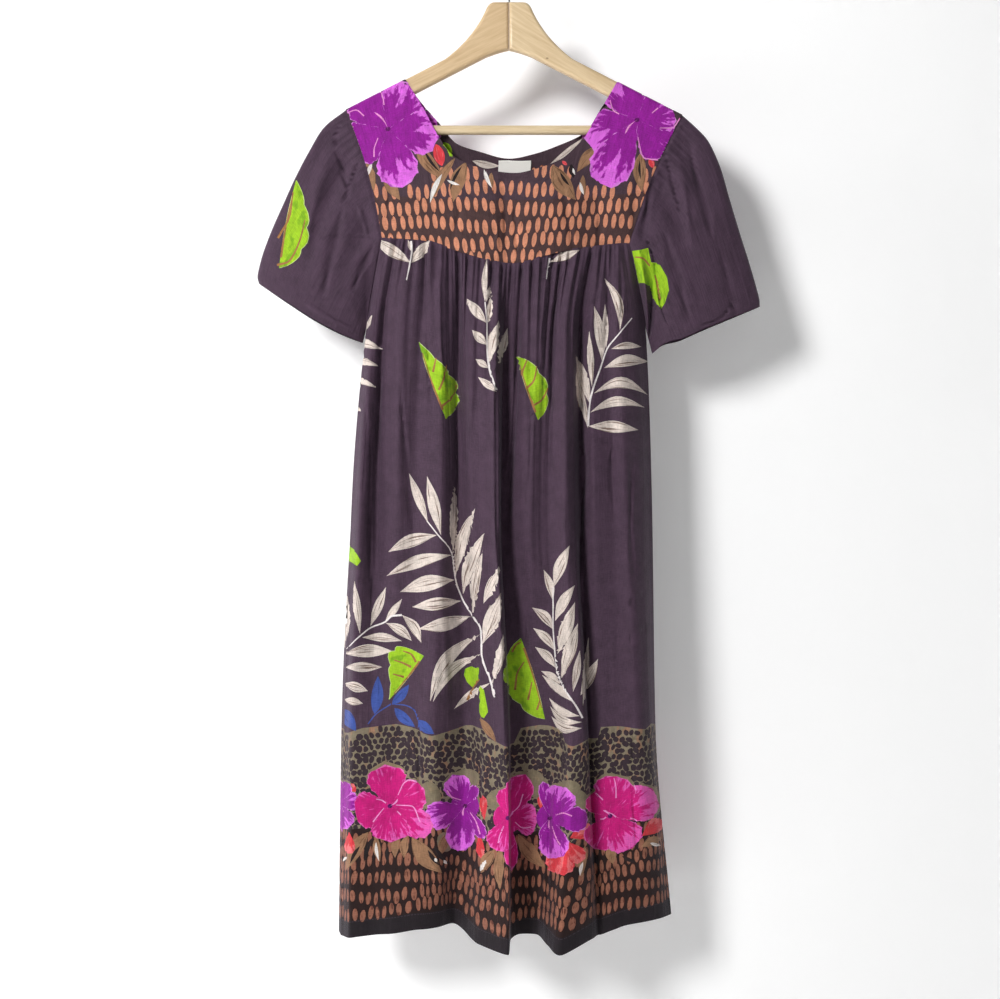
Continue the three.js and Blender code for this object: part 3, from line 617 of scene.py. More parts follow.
# Form of the yokes: the shoulder wraps over the hanger's rounded arm, and the neck edge is cut
# between. From the chest down the cloth hangs out to the seam's depth.
chest_z, chest_to_seam, side_bow, seam_depth, seam_bulge = -165, 195, 6, 14, 12
shoulder_left, shoulder_right, shoulder_share = -212.0, 225.0, 0.18
shoulder_lift, arm_rounding, arm_flat, shoulder_lip = 1.1, 4.0, 2.0, 0.002
arm_lean = math.cos(math.atan(arm_slope))
front_neck = ([-135, -112, -93, -72, -50, -17, 9, 46, 67, 82, 98, 119, 141],
              [-150, -187, -223, -252, -264, -273, -275, -266, -257, -244, -226, -190, -153])
back_neck = ([-135, -114, -91, -68, -38, 1, 32, 62, 99, 120, 141],
             [-150, -178, -204, -230, -240, -249, -243, -233, -216, -185, -153])
# soft folds of a yoke: x at its top and foot, width, depth
yoke_folds = [(-60, -92, 26, 3), (2, 0, 16, 5), (100, 118, 22, 6), (60, 60, 20, -3)]
yoke_creases = [
    ([(503, 176), (505, 220), (507, 262)], 4, 3, -2.2),
    ([(514, 205), (516, 235), (517, 264)], 2, 2, -1.4),
    ([(497, 215), (497, 240), (498, 262)], 2.5, 2.5, 1.0),
    ([(466, 196), (456, 224), (450, 252)], 5, 4, -1.4),
    ([(563, 186), (568, 215), (574, 252)], 5, 4, -1.6),
    ([(596, 196), (599, 220), (600, 248)], 3, 3, -1.2),
    ([(640, 160), (636, 200), (632, 240)], 4, 4, -1.6),
    ([(392, 170), (388, 205), (386, 238)], 4, 4, -1.2),
]


def yoke_form(neck, seam, side, creases):
    wrap_radius = arm_rounding + shoulder_lift * arm_lean
    wrap_depth = arm_flat + wrap_radius
    neck_x = np.array(neck[0], float)
    neck_z = np.array(neck[1], float)
    neck_z[[0, -1]] = arm_top(neck_x[[0, -1]]) + shoulder_lift
    lengths = np.concatenate([[0], np.cumsum(np.hypot(np.diff(neck_x), np.diff(neck_z)))])
    shares = lengths / lengths[-1]

    def form(across, down):
        share = np.clip((across - shoulder_share) / (1 - 2 * shoulder_share), 0, 1)
        x = smooth_curve(shares, neck_x, share)
        z = smooth_curve(shares, neck_z, share)
        left, right = across < shoulder_share, across > 1 - shoulder_share
        x = np.where(left, mix(shoulder_left, neck_x[0], across / shoulder_share), x)
        x = np.where(right, mix(shoulder_right, neck_x[-1], (1 - across) / shoulder_share), x)
        z = np.where(left | right, arm_top(x) + shoulder_lift, z)
        on_shoulder = (across <= shoulder_share) | (across >= 1 - shoulder_share)
        x_foot = mix(seam_left, seam_right, across)
        z_foot = smooth_curve(*seam, x_foot)
        lip = np.clip(down / shoulder_lip, 0, 1)
        fall = np.where(on_shoulder, np.maximum(0, down - shoulder_lip) / (1 - shoulder_lip), down)
        px = mix(x, x_foot, fall) + np.sin(math.pi * fall) * side_bow * (1 - 2 * across) ** 5
        pz = mix(z, z_foot, fall)
        below = np.clip((arm_top(px) + shoulder_lift - pz) * arm_lean, 0, wrap_radius)
        turned = np.sqrt(wrap_radius ** 2 - (wrap_radius - below) ** 2)
        wrap = np.where(on_shoulder, lip, 1) * (arm_flat + turned)
        hang = smooth_step(np.maximum(0, (chest_z - pz) / chest_to_seam))
        foot_depth = seam_depth + seam_bulge * (1 - (2 * across - 1) ** 2)
        depth = wrap + (foot_depth - wrap_depth) * hang
        for top, foot, width, size in yoke_folds:
            along = (px - mix(top, foot, down)) / width
            depth = depth - size * 0.8 * np.exp(-along ** 2) * hang
        points = np.stack([px, side * depth, pz], axis=1)
        seen_x, seen_y = photo_place(points)
        points[:, 1] += side * crease_height(seen_x, seen_y, creases) * hang
        return points
    return form


front_yoke_form = yoke_form(front_neck, front_seam, -1, yoke_creases)
back_yoke_form = yoke_form(back_neck, back_seam, 1, yoke_creases)

# Form of the sleeves: short wide tubes, flattened front to back, set into the armhole with a
# gathered cap. ring runs from 0 at the top edge down the front to 1 at the underarm and up the
# back to 2. Down to corner_share the armhole is the yoke's edge, below it the panel's.
corner_share, sleeve_half_depth, groove_depth, groove_reach = 0.62, 20, 1.2, 0.03
cap_gathers, cap_depth, cap_reach = 30, 1.5, 0.12
sleeve_shapes = {
    "left": {
        "bulge": 0,
        "outer": ([-212, -241, -259, -277, -293, -311, -322, -327, -325],
                  [-190, -213, -242, -276, -311, -352, -383, -406, -415]),
        "inner": ([-187, -190], [-470, -492]),
        "cuff": ([-325, -288, -255, -219, -190], [-415, -440, -461, -480, -492]),
        "folds": [(0.05, 0.12, 7, 0.05, 0.6), (0.18, 0.38, 9, 0.06, 0.9), (0.5, 0.66, 6, 0.08, 0.8)],
        "creases": [
            ([(345, 116), (335, 138.5), (342, 165), (349, 200)], 2.5, 2.5, -3.2),
            ([(361, 157), (353, 178), (343, 203)], 2.2, 2.2, -3.2),
            ([(318, 238), (345, 235.5), (376, 237)], 1.6, 1.4, -1.2),
            ([(374, 243), (364, 264), (352, 292)], 4.5, 3.5, -3.6),
            ([(343, 205), (333, 250), (322, 300)], 6, 5, -3.0),
            ([(352, 112), (356, 135), (362, 160)], 3, 3, 1.8),
            ([(330, 150), (316, 200), (303, 262)], 7, 5, 2.2),
            ([(357, 205), (364, 222), (370, 240)], 3, 3, 1.6),
            ([(300, 300), (330, 318), (356, 330)], 3, 3, 1.2),
        ],
    },
    "right": {
        "bulge": 16,
        "outer": ([225, 243, 258, 275, 287, 300, 315, 326, 326],
                  [-197, -213, -229, -265, -306, -349, -397, -438, -445]),
        "inner": ([181, 186], [-470, -506]),
        "cuff": ([326, 286, 252, 222, 203, 186], [-445, -461, -475, -488, -493, -506]),
        "folds": [(0.1, 0.14, 7, 0.05, 0.6), (0.3, 0.4, 7, 0.07, 0.9)],
        "creases": [
            ([(660, 148), (667, 160), (674, 185), (680, 215)], 2.6, 2.4, -3.0),
            ([(688, 134), (694, 165), (704, 200), (713, 240)], 5, 4, -3.4),
            ([(700, 325), (718, 320), (739, 297)], 2, 2, -2.2),
            ([(654, 176), (648, 205), (642, 240)], 4, 4, -4.0),
            ([(676, 150), (684, 190), (692, 250)], 5, 5, 2.4),
            ([(720, 240), (728, 280), (738, 320)], 6, 5, -1.8),
            ([(664, 230), (676, 270), (690, 322)], 6, 5, -2.0),
            ([(634, 300), (646, 302), (662, 312)], 2, 2, -1.8),
            ([(646, 236), (655, 262), (661, 306), (668, 325)], 1.8, 1.8, -4.0),
            ([(640, 262), (645, 300), (650, 340)], 5, 5, 2.4),
            ([(712, 160), (722, 200), (730, 236)], 5, 5, 1.8),
        ],
    },
}


def sleeve_form(name):
    shape = sleeve_shapes[name]
    edge = 0.0 if name == "left" else 1.0

    def curve_of(key, t):
        steps = np.linspace(0, 1, len(shape[key][0]))
        return np.stack([smooth_curve(steps, row, t) for row in shape[key]], 1)

    def armhole(front, share):
        on_yoke = share <= corner_share
        ends = np.full_like(share, edge)
        yoke = (front_yoke_form if front else back_yoke_form)(ends, np.clip(share / corner_share, 0, 1))
        low = np.clip((share - corner_share) / (1 - corner_share), 0, 1) * underarm_down
        panel = (front_form if front else back_form)(ends, low)
        return np.where(on_yoke[:, None], yoke, panel)

    def form(ring, along):
        front = ring <= 1
        place = np.where(front, ring, 2 - ring)
        hole = np.where(front[:, None], armhole(True, place), armhole(False, place))
        start = hole[:, [0, 2]]
        zero, one = np.zeros_like(along), np.ones_like(along)
        first, last = curve_of("outer", zero), curve_of("outer", one)
        low_first, low_last = curve_of("inner", zero), curve_of("inner", one)
        a, p = along[:, None], place[:, None]
        between = mix(curve_of("outer", along), curve_of("inner", along), p)
        spot = (mix(start, curve_of("cuff", place), a) + between
                - mix(mix(first, low_first, p), mix(last, low_last, p), a))
        lens = np.sqrt(np.clip(np.sin(math.pi * place), 0, 1))
        depth = mix(np.abs(hole[:, 1]), sleeve_half_depth * lens, smooth_step(along * 1.6))
        for top, foot, size, width, reach in shape["folds"]:
            off = (place - mix(top, foot, along)) / width
            fade = smooth_step(along * 8) * (1 - smooth_step(along / reach))
            depth = depth - size * np.exp(-off ** 2) * fade * lens
        if shape["bulge"]:
            belly = np.exp(-(((along - 0.16) / 0.12) ** 2)) - 0.8 * np.exp(-(((along - 0.42) / 0.09) ** 2))
            depth = depth + front * shape["bulge"] * belly * smooth_step((place - 0.5) / 0.3) * lens
        # the seam's groove, and gathers in the cap that fade into the sleeve
        clear = smooth_step(along / groove_reach)
        depth = depth - groove_depth * (1 - clear) * (np.abs(hole[:, 1]) > 2)
        cap = np.exp(-((place - 0.12) / 0.2) ** 2) * clear * np.exp(-along / cap_reach)
        ripple = np.cos(2 * math.pi * cap_gathers * place + 2 * np.sin(14 * place))
        depth = depth + cap_depth * cap * lens * ripple
        points = np.stack([spot[:, 0], np.where(front, -1, 1) * depth, spot[:, 1]], axis=1)
        px, py = photo_place(points)
        lift = crease_height(px, py, shape["creases"]) * lens * clear
        points[:, 1] += np.where(front, -1, 1) * lift * np.where(front, 1, 0.7)
        return points
    return form


left_sleeve_form = sleeve_form("left")
right_sleeve_form = sleeve_form("right")

# Cutting: a piece is laid out flat as it is cut, u mm across and v mm down, its print is drawn
# there as outlines, and the flat cloth is then hung in its form. A hem is turned up inside.
def on_piece(form, across, down, ring):
    """Points in mm and outward normals of a piece."""
    step = 4e-4
    if ring:
        right, left = form((across + step) % 2, down), form((across - step) % 2, down)
    else:
        right, left = form(np.minimum(across + step, 1), down), form(np.maximum(across - step, 0), down)
    below, above = form(across, np.minimum(down + step, 1)), form(across, np.maximum(down - step, 0))
    normals = np.cross(below - above, right - left)
    normals /= np.maximum(np.linalg.norm(normals, axis=1), 1e-9)[:, None]
    return form(across % 2 if ring else across, down), normals


def seen_place(piece, points):
    """Pixels at which points show: from the camera in front, straight through at the back."""
    if piece["side"] < 0:
        return np.stack(photo_place(points), axis=1)
    return np.stack([hanger_px + points[:, 0] / pixel,
                     middle_py - (points[:, 2] - camera_at[2] * 1000) / pixel], axis=1)


def new_piece(name, node, form, side, across_mm, down_mm, hem=0.0, ring=False, outward=1):
    """across_mm is the flat width, or None to take the form's own girth, folds included."""
    shares = np.linspace(0, 1, 801)
    if across_mm is None:
        girth = np.zeros(801)
        for down in (0.3, 0.5, 0.7, 0.85, 0.97):
            row = form(shares, np.full(801, down))
            girth += np.concatenate([[0], np.cumsum(np.linalg.norm(np.diff(row, axis=0), axis=1))]) / 5
    else:
        girth = shares * across_mm
    piece = {"name": name, "node": node, "form": form, "side": side, "girth": girth, "wide": girth[-1],
             "long": down_mm, "hem": hem, "ring": ring, "outward": outward, "motifs": [],
             "shares": shares * (2 if ring else 1)}
    # a net of places on the shown half and the pixels where they show
    columns, rows = (560, 300) if down_mm > 400 else (400, 170)
    first = 1.0 if ring and side > 0 else 0.0
    a, d = np.meshgrid(np.linspace(first, first + 1, columns), np.linspace(0, 1, rows))
    points = form(a.ravel(), d.ravel())
    seen = seen_place(piece, points)
    tree = KDTree(len(points))
    for i in range(len(points)):
        if "yoke" not in name or d.flat[i] > 0.04:
            tree.insert((seen[i, 0], seen[i, 1], 0), i)
    tree.balance()
    piece["net"] = (tree, a, d, seen.reshape(rows, columns, 2), points[:, 1])
    return piece


def find(piece, px, py):
    """The place on the flat cloth that shows at a pixel."""
    tree, a, d, seen, depth = piece["net"]
    near = tree.find_range((px, py, 0), 2.0) or [tree.find((px, py, 0))]
    best = min(near, key=lambda hit: piece["side"] * -depth[hit[1]] + 1.5 * hit[2])[1]
    rows, columns = a.shape
    row, column = divmod(best, columns)
    before, after = max(column - 1, 0), min(column + 1, columns - 1)
    above, below = max(row - 1, 0), min(row + 1, rows - 1)
    turn = np.stack([(seen[row, after] - seen[row, before]) / (after - before),
                     (seen[below, column] - seen[above, column]) / (below - above)], axis=1)
    miss = np.array((px, py)) - seen[row, column]
    if abs(np.linalg.det(turn)) > 0.02:
        move = np.linalg.solve(turn, miss)
    else:
        move = np.array((0.0, miss[1] / max(turn[1, 1], 0.05)))
    # past the edge of the piece the step goes on at the same scale
    reach = 1.5 if np.hypot(*miss) < 2.5 else 60
    move = np.clip(move, -reach, reach)
    share = a[row, column] + move[0] * (a[0, 1] - a[0, 0])
    shares = piece["shares"]
    u = float(np.interp(share, shares, piece["girth"]))
    if share < 0:
        u = float(share * piece["girth"][-1])
    if share > shares[-1]:
        u = float(piece["girth"][-1] * share / shares[-1])
    return np.array((u, float((d[row, column] + move[1] * (d[1, 0] - d[0, 0])) * piece["long"])))


# Motifs. way says how the second ink lies: along the motif, round its middle or at its rim.
# kind names its inks, origin, axis and half say where it starts, where it points and how wide
# it is, and fill is the spacing of extra points inside it.
def motif(outline, kind, origin=None, axis=(0.0, 20.0), half=10.0, fill=0.0, way="along", feather=0.0,
          rails=None):
    outline = np.array(outline, float)
    origin = outline.mean(axis=0) if origin is None else np.array(origin, float)
    return {"outline": outline, "kind": kind, "origin": origin, "axis": np.array(axis, float),
            "half": half, "fill": fill, "way": way, "feather": feather, "rails": rails}


def blade(base, tip, width, kind, bend=0.0, widest=0.46, blunt=1.0, steps=10):
    """A leaf or leaflet from base to tip: bend bows it to one side, by its length."""
    base, tip = np.asarray(base, float), np.asarray(tip, float)
    axis = tip - base
    length = max(float(np.linalg.norm(axis)), 1e-6)
    aside = np.array((-axis[1], axis[0])) / length
    power = math.log(0.5) / math.log(widest)
    left, right = [], []
    for k in range(steps + 1):
        t = k / steps
        middle = base + axis * t + aside * bend * length * math.sin(math.pi * t)
        half = 0.5 * width * max(math.sin(math.pi * t ** power), 0) ** blunt
        left.append(middle + aside * half)
        right.append(middle - aside * half)
    rails = [np.linspace(0, 1, steps + 1)] + [(np.array(row) - base) @ aside for row in (left, right)]
    return motif(left + right[-2:0:-1], kind, base, axis, width / 2, rails=rails)


def ribbon(line, first, last, kind):
    """A stem or a vein along a line, with its first and last width."""
    line = np.array(line, float)
    ts = np.linspace(0, 1, len(line))
    fine = np.linspace(0, 1, 4 * len(line) - 3)
    spots = np.stack([smooth_curve(ts, line[:, 0], fine), smooth_curve(ts, line[:, 1], fine)], 1)
    run = np.gradient(spots, axis=0)
    run /= np.maximum(np.linalg.norm(run, axis=1), 1e-6)[:, None]
    aside = np.stack([-run[:, 1], run[:, 0]], 1) * mix(first, last, fine)[:, None] / 2
    return motif(list(spots + aside) + list((spots - aside)[::-1]), kind)


def oval(centre, half_wide, half_high, lean, kind, corners=12):
    """An oval that leans by an angle from upright."""
    turns = np.arange(corners) * 2 * math.pi / corners
    axis = np.array((math.sin(lean), math.cos(lean))) * half_high
    aside = np.array((math.cos(lean), -math.sin(lean))) * half_wide
    outline = [np.asarray(centre) + axis * math.cos(turn) + aside * math.sin(turn) for turn in turns]
    return motif(outline, kind, centre, axis, half_wide, way="round")


petal_steps, petal_fill, petal_widest, petal_blunt = 16, 2.6, 1.75, 0.58


def petal(centre, tip, width, kind, feather=0.0):
    """A broad ruffled petal. feather says how far the second ink runs in from its rim."""
    centre, tip = np.asarray(centre, float), np.asarray(tip, float)
    axis = tip - centre
    length = max(float(np.linalg.norm(axis)), 1e-6)
    aside = np.array((-axis[1], axis[0])) / length
    left, right = [], []
    for k in range(petal_steps + 1):
        t = k / petal_steps
        half = 0.5 * width * max(math.sin(math.pi * t ** petal_widest), 0) ** petal_blunt
        reach = axis * t * (1 + 0.03 * math.sin(2.3 * k + width))
        left.append(centre + reach + aside * half * (1 + 0.05 * math.sin(2.7 * k + length)))
        right.append(centre + reach - aside * half * (1 + 0.05 * math.sin(2.1 * k + 2 + length)))
    return motif(left + right[-2:0:-1], kind, centre, axis, width / 2, petal_fill, "rim", feather)


outline_gap = 6


def closer(outline):
    """An outline with more points, at most outline_gap apart."""
    spots = []
    for here, there in zip(outline, np.roll(outline, -1, axis=0)):
        parts = math.ceil(np.linalg.norm(there - here) / outline_gap) or 1
        spots += [mix(here, there, k / parts) for k in range(parts)]
    return np.array(spots)


def print_flat(piece, drawn):
    """Prints a motif that is drawn in mm on the flat cloth."""
    piece["motifs"].append({**drawn, "seen": False, "flat": closer(drawn["outline"])})


def print_seen(piece, drawn):
    """Prints a motif that is drawn in pixels, as it shows on the hung cloth."""
    flat = np.array([find(piece, *spot) for spot in closer(drawn["outline"])])
    piece["motifs"].append({**drawn, "seen": True, "flat": flat})


def inside(outline, spots):
    """Which spots lie inside an outline."""
    x, y = spots[:, 0], spots[:, 1]
    result = np.zeros(len(spots), bool)
    for (x1, y1), (x2, y2) in zip(outline, np.roll(outline, 1, axis=0)):
        crosses = (y1 > y) != (y2 > y)
        if crosses.any():
            where = (x2 - x1) * (y - y1) / (y2 - y1) + x1
            result ^= crosses & (x < where)
    return result


def ink_place(drawn, spots):
    """For spots on a motif: how much of the second ink, and the two ways of its streaks."""
    _, _, base, sides, lines, run = inks[drawn["kind"]]
    run = run / pixel if drawn["seen"] else run
    axis, half = drawn["axis"], drawn["half"]
    length = np.linalg.norm(axis)
    away = spots - drawn["origin"]
    side_way = np.array((-axis[1], axis[0])) / length
    t, off = away @ axis / length ** 2, away @ side_way
    if drawn["way"] == "round":
        far = np.hypot(t, off / half)
        return base + sides * np.clip(far, 0, 1) ** 3, off / half * lines, t * length / run
    if drawn["way"] == "rim":
        turn, far = np.arctan2(off, t * length), np.hypot(off, t * length)
        rim = drawn["outline"] - drawn["origin"]
        rim_turn = np.arctan2(rim @ side_way, rim @ axis / length)
        order = np.argsort(rim_turn)
        reach = np.interp(turn, rim_turn[order], np.linalg.norm(rim, axis=1)[order])
        share = np.clip(far / np.maximum(reach, 1e-3), 0, 1)
        share = share ** 2.6 * smooth_step((far / length - 0.3) / 0.4)
        return base + drawn["feather"] * share, turn * lines, far / run
    if drawn["rails"]:
        ts, left, right = drawn["rails"]
        left, right = np.interp(t, ts, left), np.interp(t, ts, right)
        w = np.clip((off - (left + right) / 2) / np.maximum((left - right) / 2, 0.2), -1.2, 1.2)
    else:
        w = off / half
    return base + sides * np.clip(np.abs(w), 0, 1) ** 3, w * lines, t * length / run


# A hem lies this far inside the cloth (mm), after this much of a turn.
hem_gap, hem_turn = 0.9, 1.5


def sew(piece, ground, column_step, rows, dense=0.0):
    """Triangulates the flat piece with its motifs, hangs it in its form and inks it.

    Rows and columns are in mm, and down to dense there are more columns for the gathers.
    """
    wide, foot = piece["wide"], piece["long"] + piece["hem"]
    columns = np.linspace(0, wide, int(wide / column_step) + 1)
    between = (columns[1:] + columns[:-1]) / 2
    rows = np.array(rows)
    places = [(u, v) for v in rows for u in columns]
    places += [(u, v) for v in rows for u in between if 0 < v < dense]
    edges = []
    for drawn in piece["motifs"]:
        outline, fill, first = drawn["flat"], drawn["fill"], len(places)
        places += [tuple(spot) for spot in outline]
        edges += [(first + k, first + (k + 1) % len(outline)) for k in range(len(outline))]
        if fill:
            low, high = outline.min(axis=0), outline.max(axis=0)
            us, vs = np.arange(low[0], high[0], fill), np.arange(low[1], high[1], fill)
            grid = np.stack(np.meshgrid(us, vs), -1).reshape(-1, 2)
            grid[:, 0] += (grid[:, 1] // fill % 2) * fill / 2
            places += [tuple(spot) for spot in grid[inside(outline, grid)]]
    spots, _, faces, _, _, _ = delaunay_2d_cdt([Vector(spot) for spot in places], edges, [], 0, 1e-4, False)
    flat = np.array([tuple(spot) for spot in spots])
    faces = np.array([tuple(face) for face in faces])
    middles = flat[faces].mean(axis=1)
    kept = (middles > 0).all(axis=1) & (middles[:, 0] < wide) & (middles[:, 1] < foot)
    faces = faces[kept][np.argsort(middles[kept, 1], kind="stable")]
    used, faces = np.unique(faces, return_inverse=True)
    flat, faces = flat[used], faces.reshape(-1, 3)
    flat = np.clip(flat, 0, (wide, foot))
    turned = np.maximum(0, flat[:, 1] - piece["long"])
    down = np.clip((piece["long"] - np.abs(piece["long"] - flat[:, 1])) / piece["long"], 0, 1)
    across = np.interp(flat[:, 0], piece["girth"], piece["shares"])
    points, normals = on_piece(piece["form"], across, down, piece["ring"])
    seen = seen_place(piece, points)
    normals *= piece["outward"]
    points -= normals * (hem_gap * smooth_step(turned / hem_turn))[:, None]
    corners_a, corners_b, corners_c = (points[faces[:, k]] for k in range(3))
    facing = np.cross(corners_b - corners_a, corners_c - corners_a)
    if (facing * normals[faces[:, 0]]).sum() < 0:
        faces = faces[:, ::-1]
    normals = np.where((turned > hem_turn)[:, None], -normals, normals)
    # the top motif on each face
    middles, seen_middles = flat[faces].mean(axis=1), seen[faces].mean(axis=1)
    tops = np.zeros(len(faces), int)
    for m, drawn in enumerate(piece["motifs"], 1):
        low, high = drawn["flat"].min(axis=0) - 1.5, drawn["flat"].max(axis=0) + 1.5
        first, last = np.searchsorted(middles[:, 1], (low[1], high[1]))
        near = first + np.nonzero((middles[first:last, 0] > low[0]) & (middles[first:last, 0] < high[0]))[0]
        if len(near):
            held = inside(drawn["outline"], (seen_middles if drawn["seen"] else middles)[near])
            tops[near[held]] = m
    mesh_object = mesh_piece(piece["name"], (points / 1000).tolist(), faces.tolist(), cotton)
    mesh = mesh_object.data
    count = len(faces) * 3
    ink, tint, grain = np.ones((count, 4)), np.ones((count, 4)), np.zeros((count, 3))
    owner = np.repeat(tops, 3)
    corner_spots, corner_seen = flat[faces.ravel()], seen[faces.ravel()]
    order = np.argsort(owner, kind="stable")
    bounds = np.searchsorted(owner[order], np.arange(len(piece["motifs"]) + 2))
    plain = {**motif([(0, 0), (1, 0), (0, 1)], ground), "seen": False}
    for m, drawn in enumerate([plain] + piece["motifs"]):
        chosen = order[bounds[m]:bounds[m + 1]]
        if len(chosen):
            amount, streak_across, streak_along = ink_place(
                drawn, (corner_seen if drawn["seen"] else corner_spots)[chosen])
            ink[chosen, :3], tint[chosen, :3] = inks[drawn["kind"]][:2]
            tint[chosen, 3] = amount
            grain[chosen, 0], grain[chosen, 1] = streak_across + m * 3.7, streak_along
            grain[chosen, 2] = m * 1.3
    for name, values in (("ink", ink), ("tint", tint)):
        layer = mesh.attributes.new(name, "FLOAT_COLOR", "CORNER")
        layer.data.foreach_set("color", values.astype(np.float32).ravel())
    layer = mesh.attributes.new("grain", "FLOAT_VECTOR", "CORNER")
    layer.data.foreach_set("vector", grain.astype(np.float32).ravel())
    layer = mesh.attributes.new("cut", "FLOAT_VECTOR", "POINT")
    cut = np.concatenate([flat / 1000, np.zeros((len(flat), 1))], axis=1)
    layer.data.foreach_set("vector", cut.astype(np.float32).ravel())
    charts = mesh.uv_layers.new(name="OFBake")
    spread = (corner_spots + 2) / np.array((wide + 4, foot + 4))
    charts.data.foreach_set("uv", np.stack([spread[:, 0], 1 - spread[:, 1]], 1).astype(np.float32).ravel())
    mesh.normals_split_custom_set_from_vertices(normals.tolist())
    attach(mesh_object, "root")
    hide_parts(piece["node"])
    return mesh_object


stitch_pitch, stitch_long, thread_half = 3.6, 2.3, 0.32


def stitches(piece, first, last):
    """A row of machine stitches from one place on the flat cloth to another."""
    first, last = np.array(first, float), np.array(last, float)
    length = np.linalg.norm(last - first)
    run = (last - first) / length
    aside = np.array((-run[1], run[0])) * thread_half
    for k in range(int(length / stitch_pitch)):
        a = first + run * (k + 0.3) * stitch_pitch
        b = a + run * stitch_long
        print_flat(piece, motif([a + aside, b + aside, b - aside, a - aside], "thread"))


# The print, by pixel, as placed on the picture. A frond is a stem with leaflets:
# each leaflet has its base, its tip, its width and how far it bows.
fronds = [
    {"stem": [(427, 521), (438, 535), (452, 553), (455.5, 579), (462, 598), (472, 616), (481, 631),
              (481.5, 655), (491, 682), (494, 697)],
     "leaflets": [
         ((437, 535), (388, 552), 13, 0.06), ((452, 555), (386, 576), 13, 0.06),
         ((455, 580), (400, 592), 16, 0.05), ((461, 601), (412, 607), 13, 0.0),
         ((471, 616), (418, 629), 14, -0.03), ((480, 634), (430, 702), 13, 0.14),
         ((481, 654), (433, 702), 11, 0.14), ((490, 683), (454, 709), 7, 0.05),
         ((428, 523), (409, 473), 9, 0.0), ((441, 535), (427, 476), 12, 0.0),
         ((453, 553), (454.5, 486), 8, 0.0), ((456, 575), (475, 508), 12, -0.05),
         ((463, 594), (484, 533), 14, -0.05), ((473, 613), (483, 550), 9, -0.04),
         ((483, 604), (500, 566), 10, 0.0), ((482.5, 644), (502, 593), 16, 0.0),
         ((492, 683), (504.5, 634), 10, 0.02)]},
    {"stem": [(341, 653.5), (360, 636), (371, 627.5), (385, 622), (392, 616), (402, 615)],
     "leaflets": [
         ((344, 648), (347, 594), 9, 0.0), ((360, 634), (354, 581), 8, 0.0),
         ((370.5, 626), (386, 587), 9, 0.0), ((385, 622), (402, 599), 7, 0.0),
         ((402, 615), (421, 643), 10, -0.10), ((386, 623), (412, 641), 10, -0.08),
         ((362, 637.5), (402, 641), 9, -0.05), ((343, 654), (393.5, 651.5), 13, -0.04),
         ((343, 667), (382.5, 667), 10, 0.0), ((343, 683), (368, 691), 10, 0.0),
         ((343, 699), (363, 703.5), 8, 0.0)]},
    {"stem": [(632, 318), (618, 335), (607, 349), (600.5, 368), (593.6, 387), (589.5, 404), (588, 426)],
     "leaflets": [
         ((620, 330), (604, 278), 9, 0.12), ((606, 349), (605, 304), 6, 0.0),
         ((602, 361), (594, 306), 11, 0.04), ((592, 387), (589, 331.5), 7, 0.0),
         ((590, 404), (576.4, 356), 11, 0.0), ((588, 428), (575.5, 373), 8, 0.0),
         ((611, 349), (642, 347), 7, -0.08), ((604, 368), (649.5, 362), 12, -0.10),
         ((593.6, 393.6), (648, 395), 11, -0.22), ((590, 412.6), (644.6, 407.4), 10, -0.16),
         ((588, 426.4), (638.5, 430), 12, -0.03)]},
    {"stem": [(553, 587), (553, 623), (554.7, 650.7), (557, 671), (564, 688.6), (576, 706), (582.6, 718)],
     "leaflets": [
         ((553.6, 587), (569.5, 545.5), 12, -0.03), ((555, 621), (575, 585), 11, -0.05),
         ((557.4, 654), (575, 602), 13, 0.0), ((561, 678), (578, 623), 13, 0.0),
         ((573, 692), (580, 650), 8, 0.0), ((580.5, 695.5), (598, 659), 11, 0.0),
         ((583, 706), (588.5, 637), 6, 0.0), ((553, 600.7), (543.6, 569.7), 8, 0.05),
         ((553.6, 630), (532, 607.6), 10, 0.10), ((555, 650.7), (533, 628), 9, 0.08),
         ((555.7, 668), (535, 647), 9, 0.08), ((561, 685), (541, 671), 7, 0.08),
         ((573, 702), (542, 675), 8, 0.0), ((580, 716), (549, 698), 8, -0.15),
         ((582, 722), (550, 706), 8, -0.20), ((582, 728), (551, 716), 9, -0.20)]},
    {"stem": [(485, 302), (487, 325), (487, 345), (488.5, 365), (492, 378), (497, 390)],
     "leaflets": [
         ((485, 302), (487, 258), 6, -0.03), ((486, 302), (490, 286), 5, 0.0),
         ((487, 326), (491.5, 295), 6, 0.0), ((486.5, 323), (466, 298.5), 10, 0.0),
         ((487, 345), (472, 330), 9, 0.0), ((489, 362), (500, 321), 12, -0.04),
         ((498.5, 364), (507.5, 328), 8, 0.0), ((488.5, 368), (475.5, 359), 7, 0.0),
         ((497, 392), (478, 377), 7, 0.0)]},
    {"stem": [(406.5, 280), (410, 263), (412, 250), (411, 241)],
     "leaflets": [((411, 263), (372, 238), 12, 0.0), ((411.5, 263), (430, 240), 11, 0.0),
                  ((412, 252), (408, 240), 4, 0.0)]},
    {"stem": [(546.5, 279), (548, 268), (549.5, 258)],
     "leaflets": [((550, 262), (580, 250), 9, 0.0)]},
    {"stem": [(345, 410), (344, 380), (345, 345)],
     "leaflets": [((345, 345), (382.5, 349.5), 9, -0.10), ((345, 362), (379.5, 366.5), 7, -0.08),
                  ((345, 380), (377, 388), 6, -0.08), ((366, 330), (372, 314), 4, 0.0),
                  ((356, 407), (361, 412), 3, 0.0)]},
]
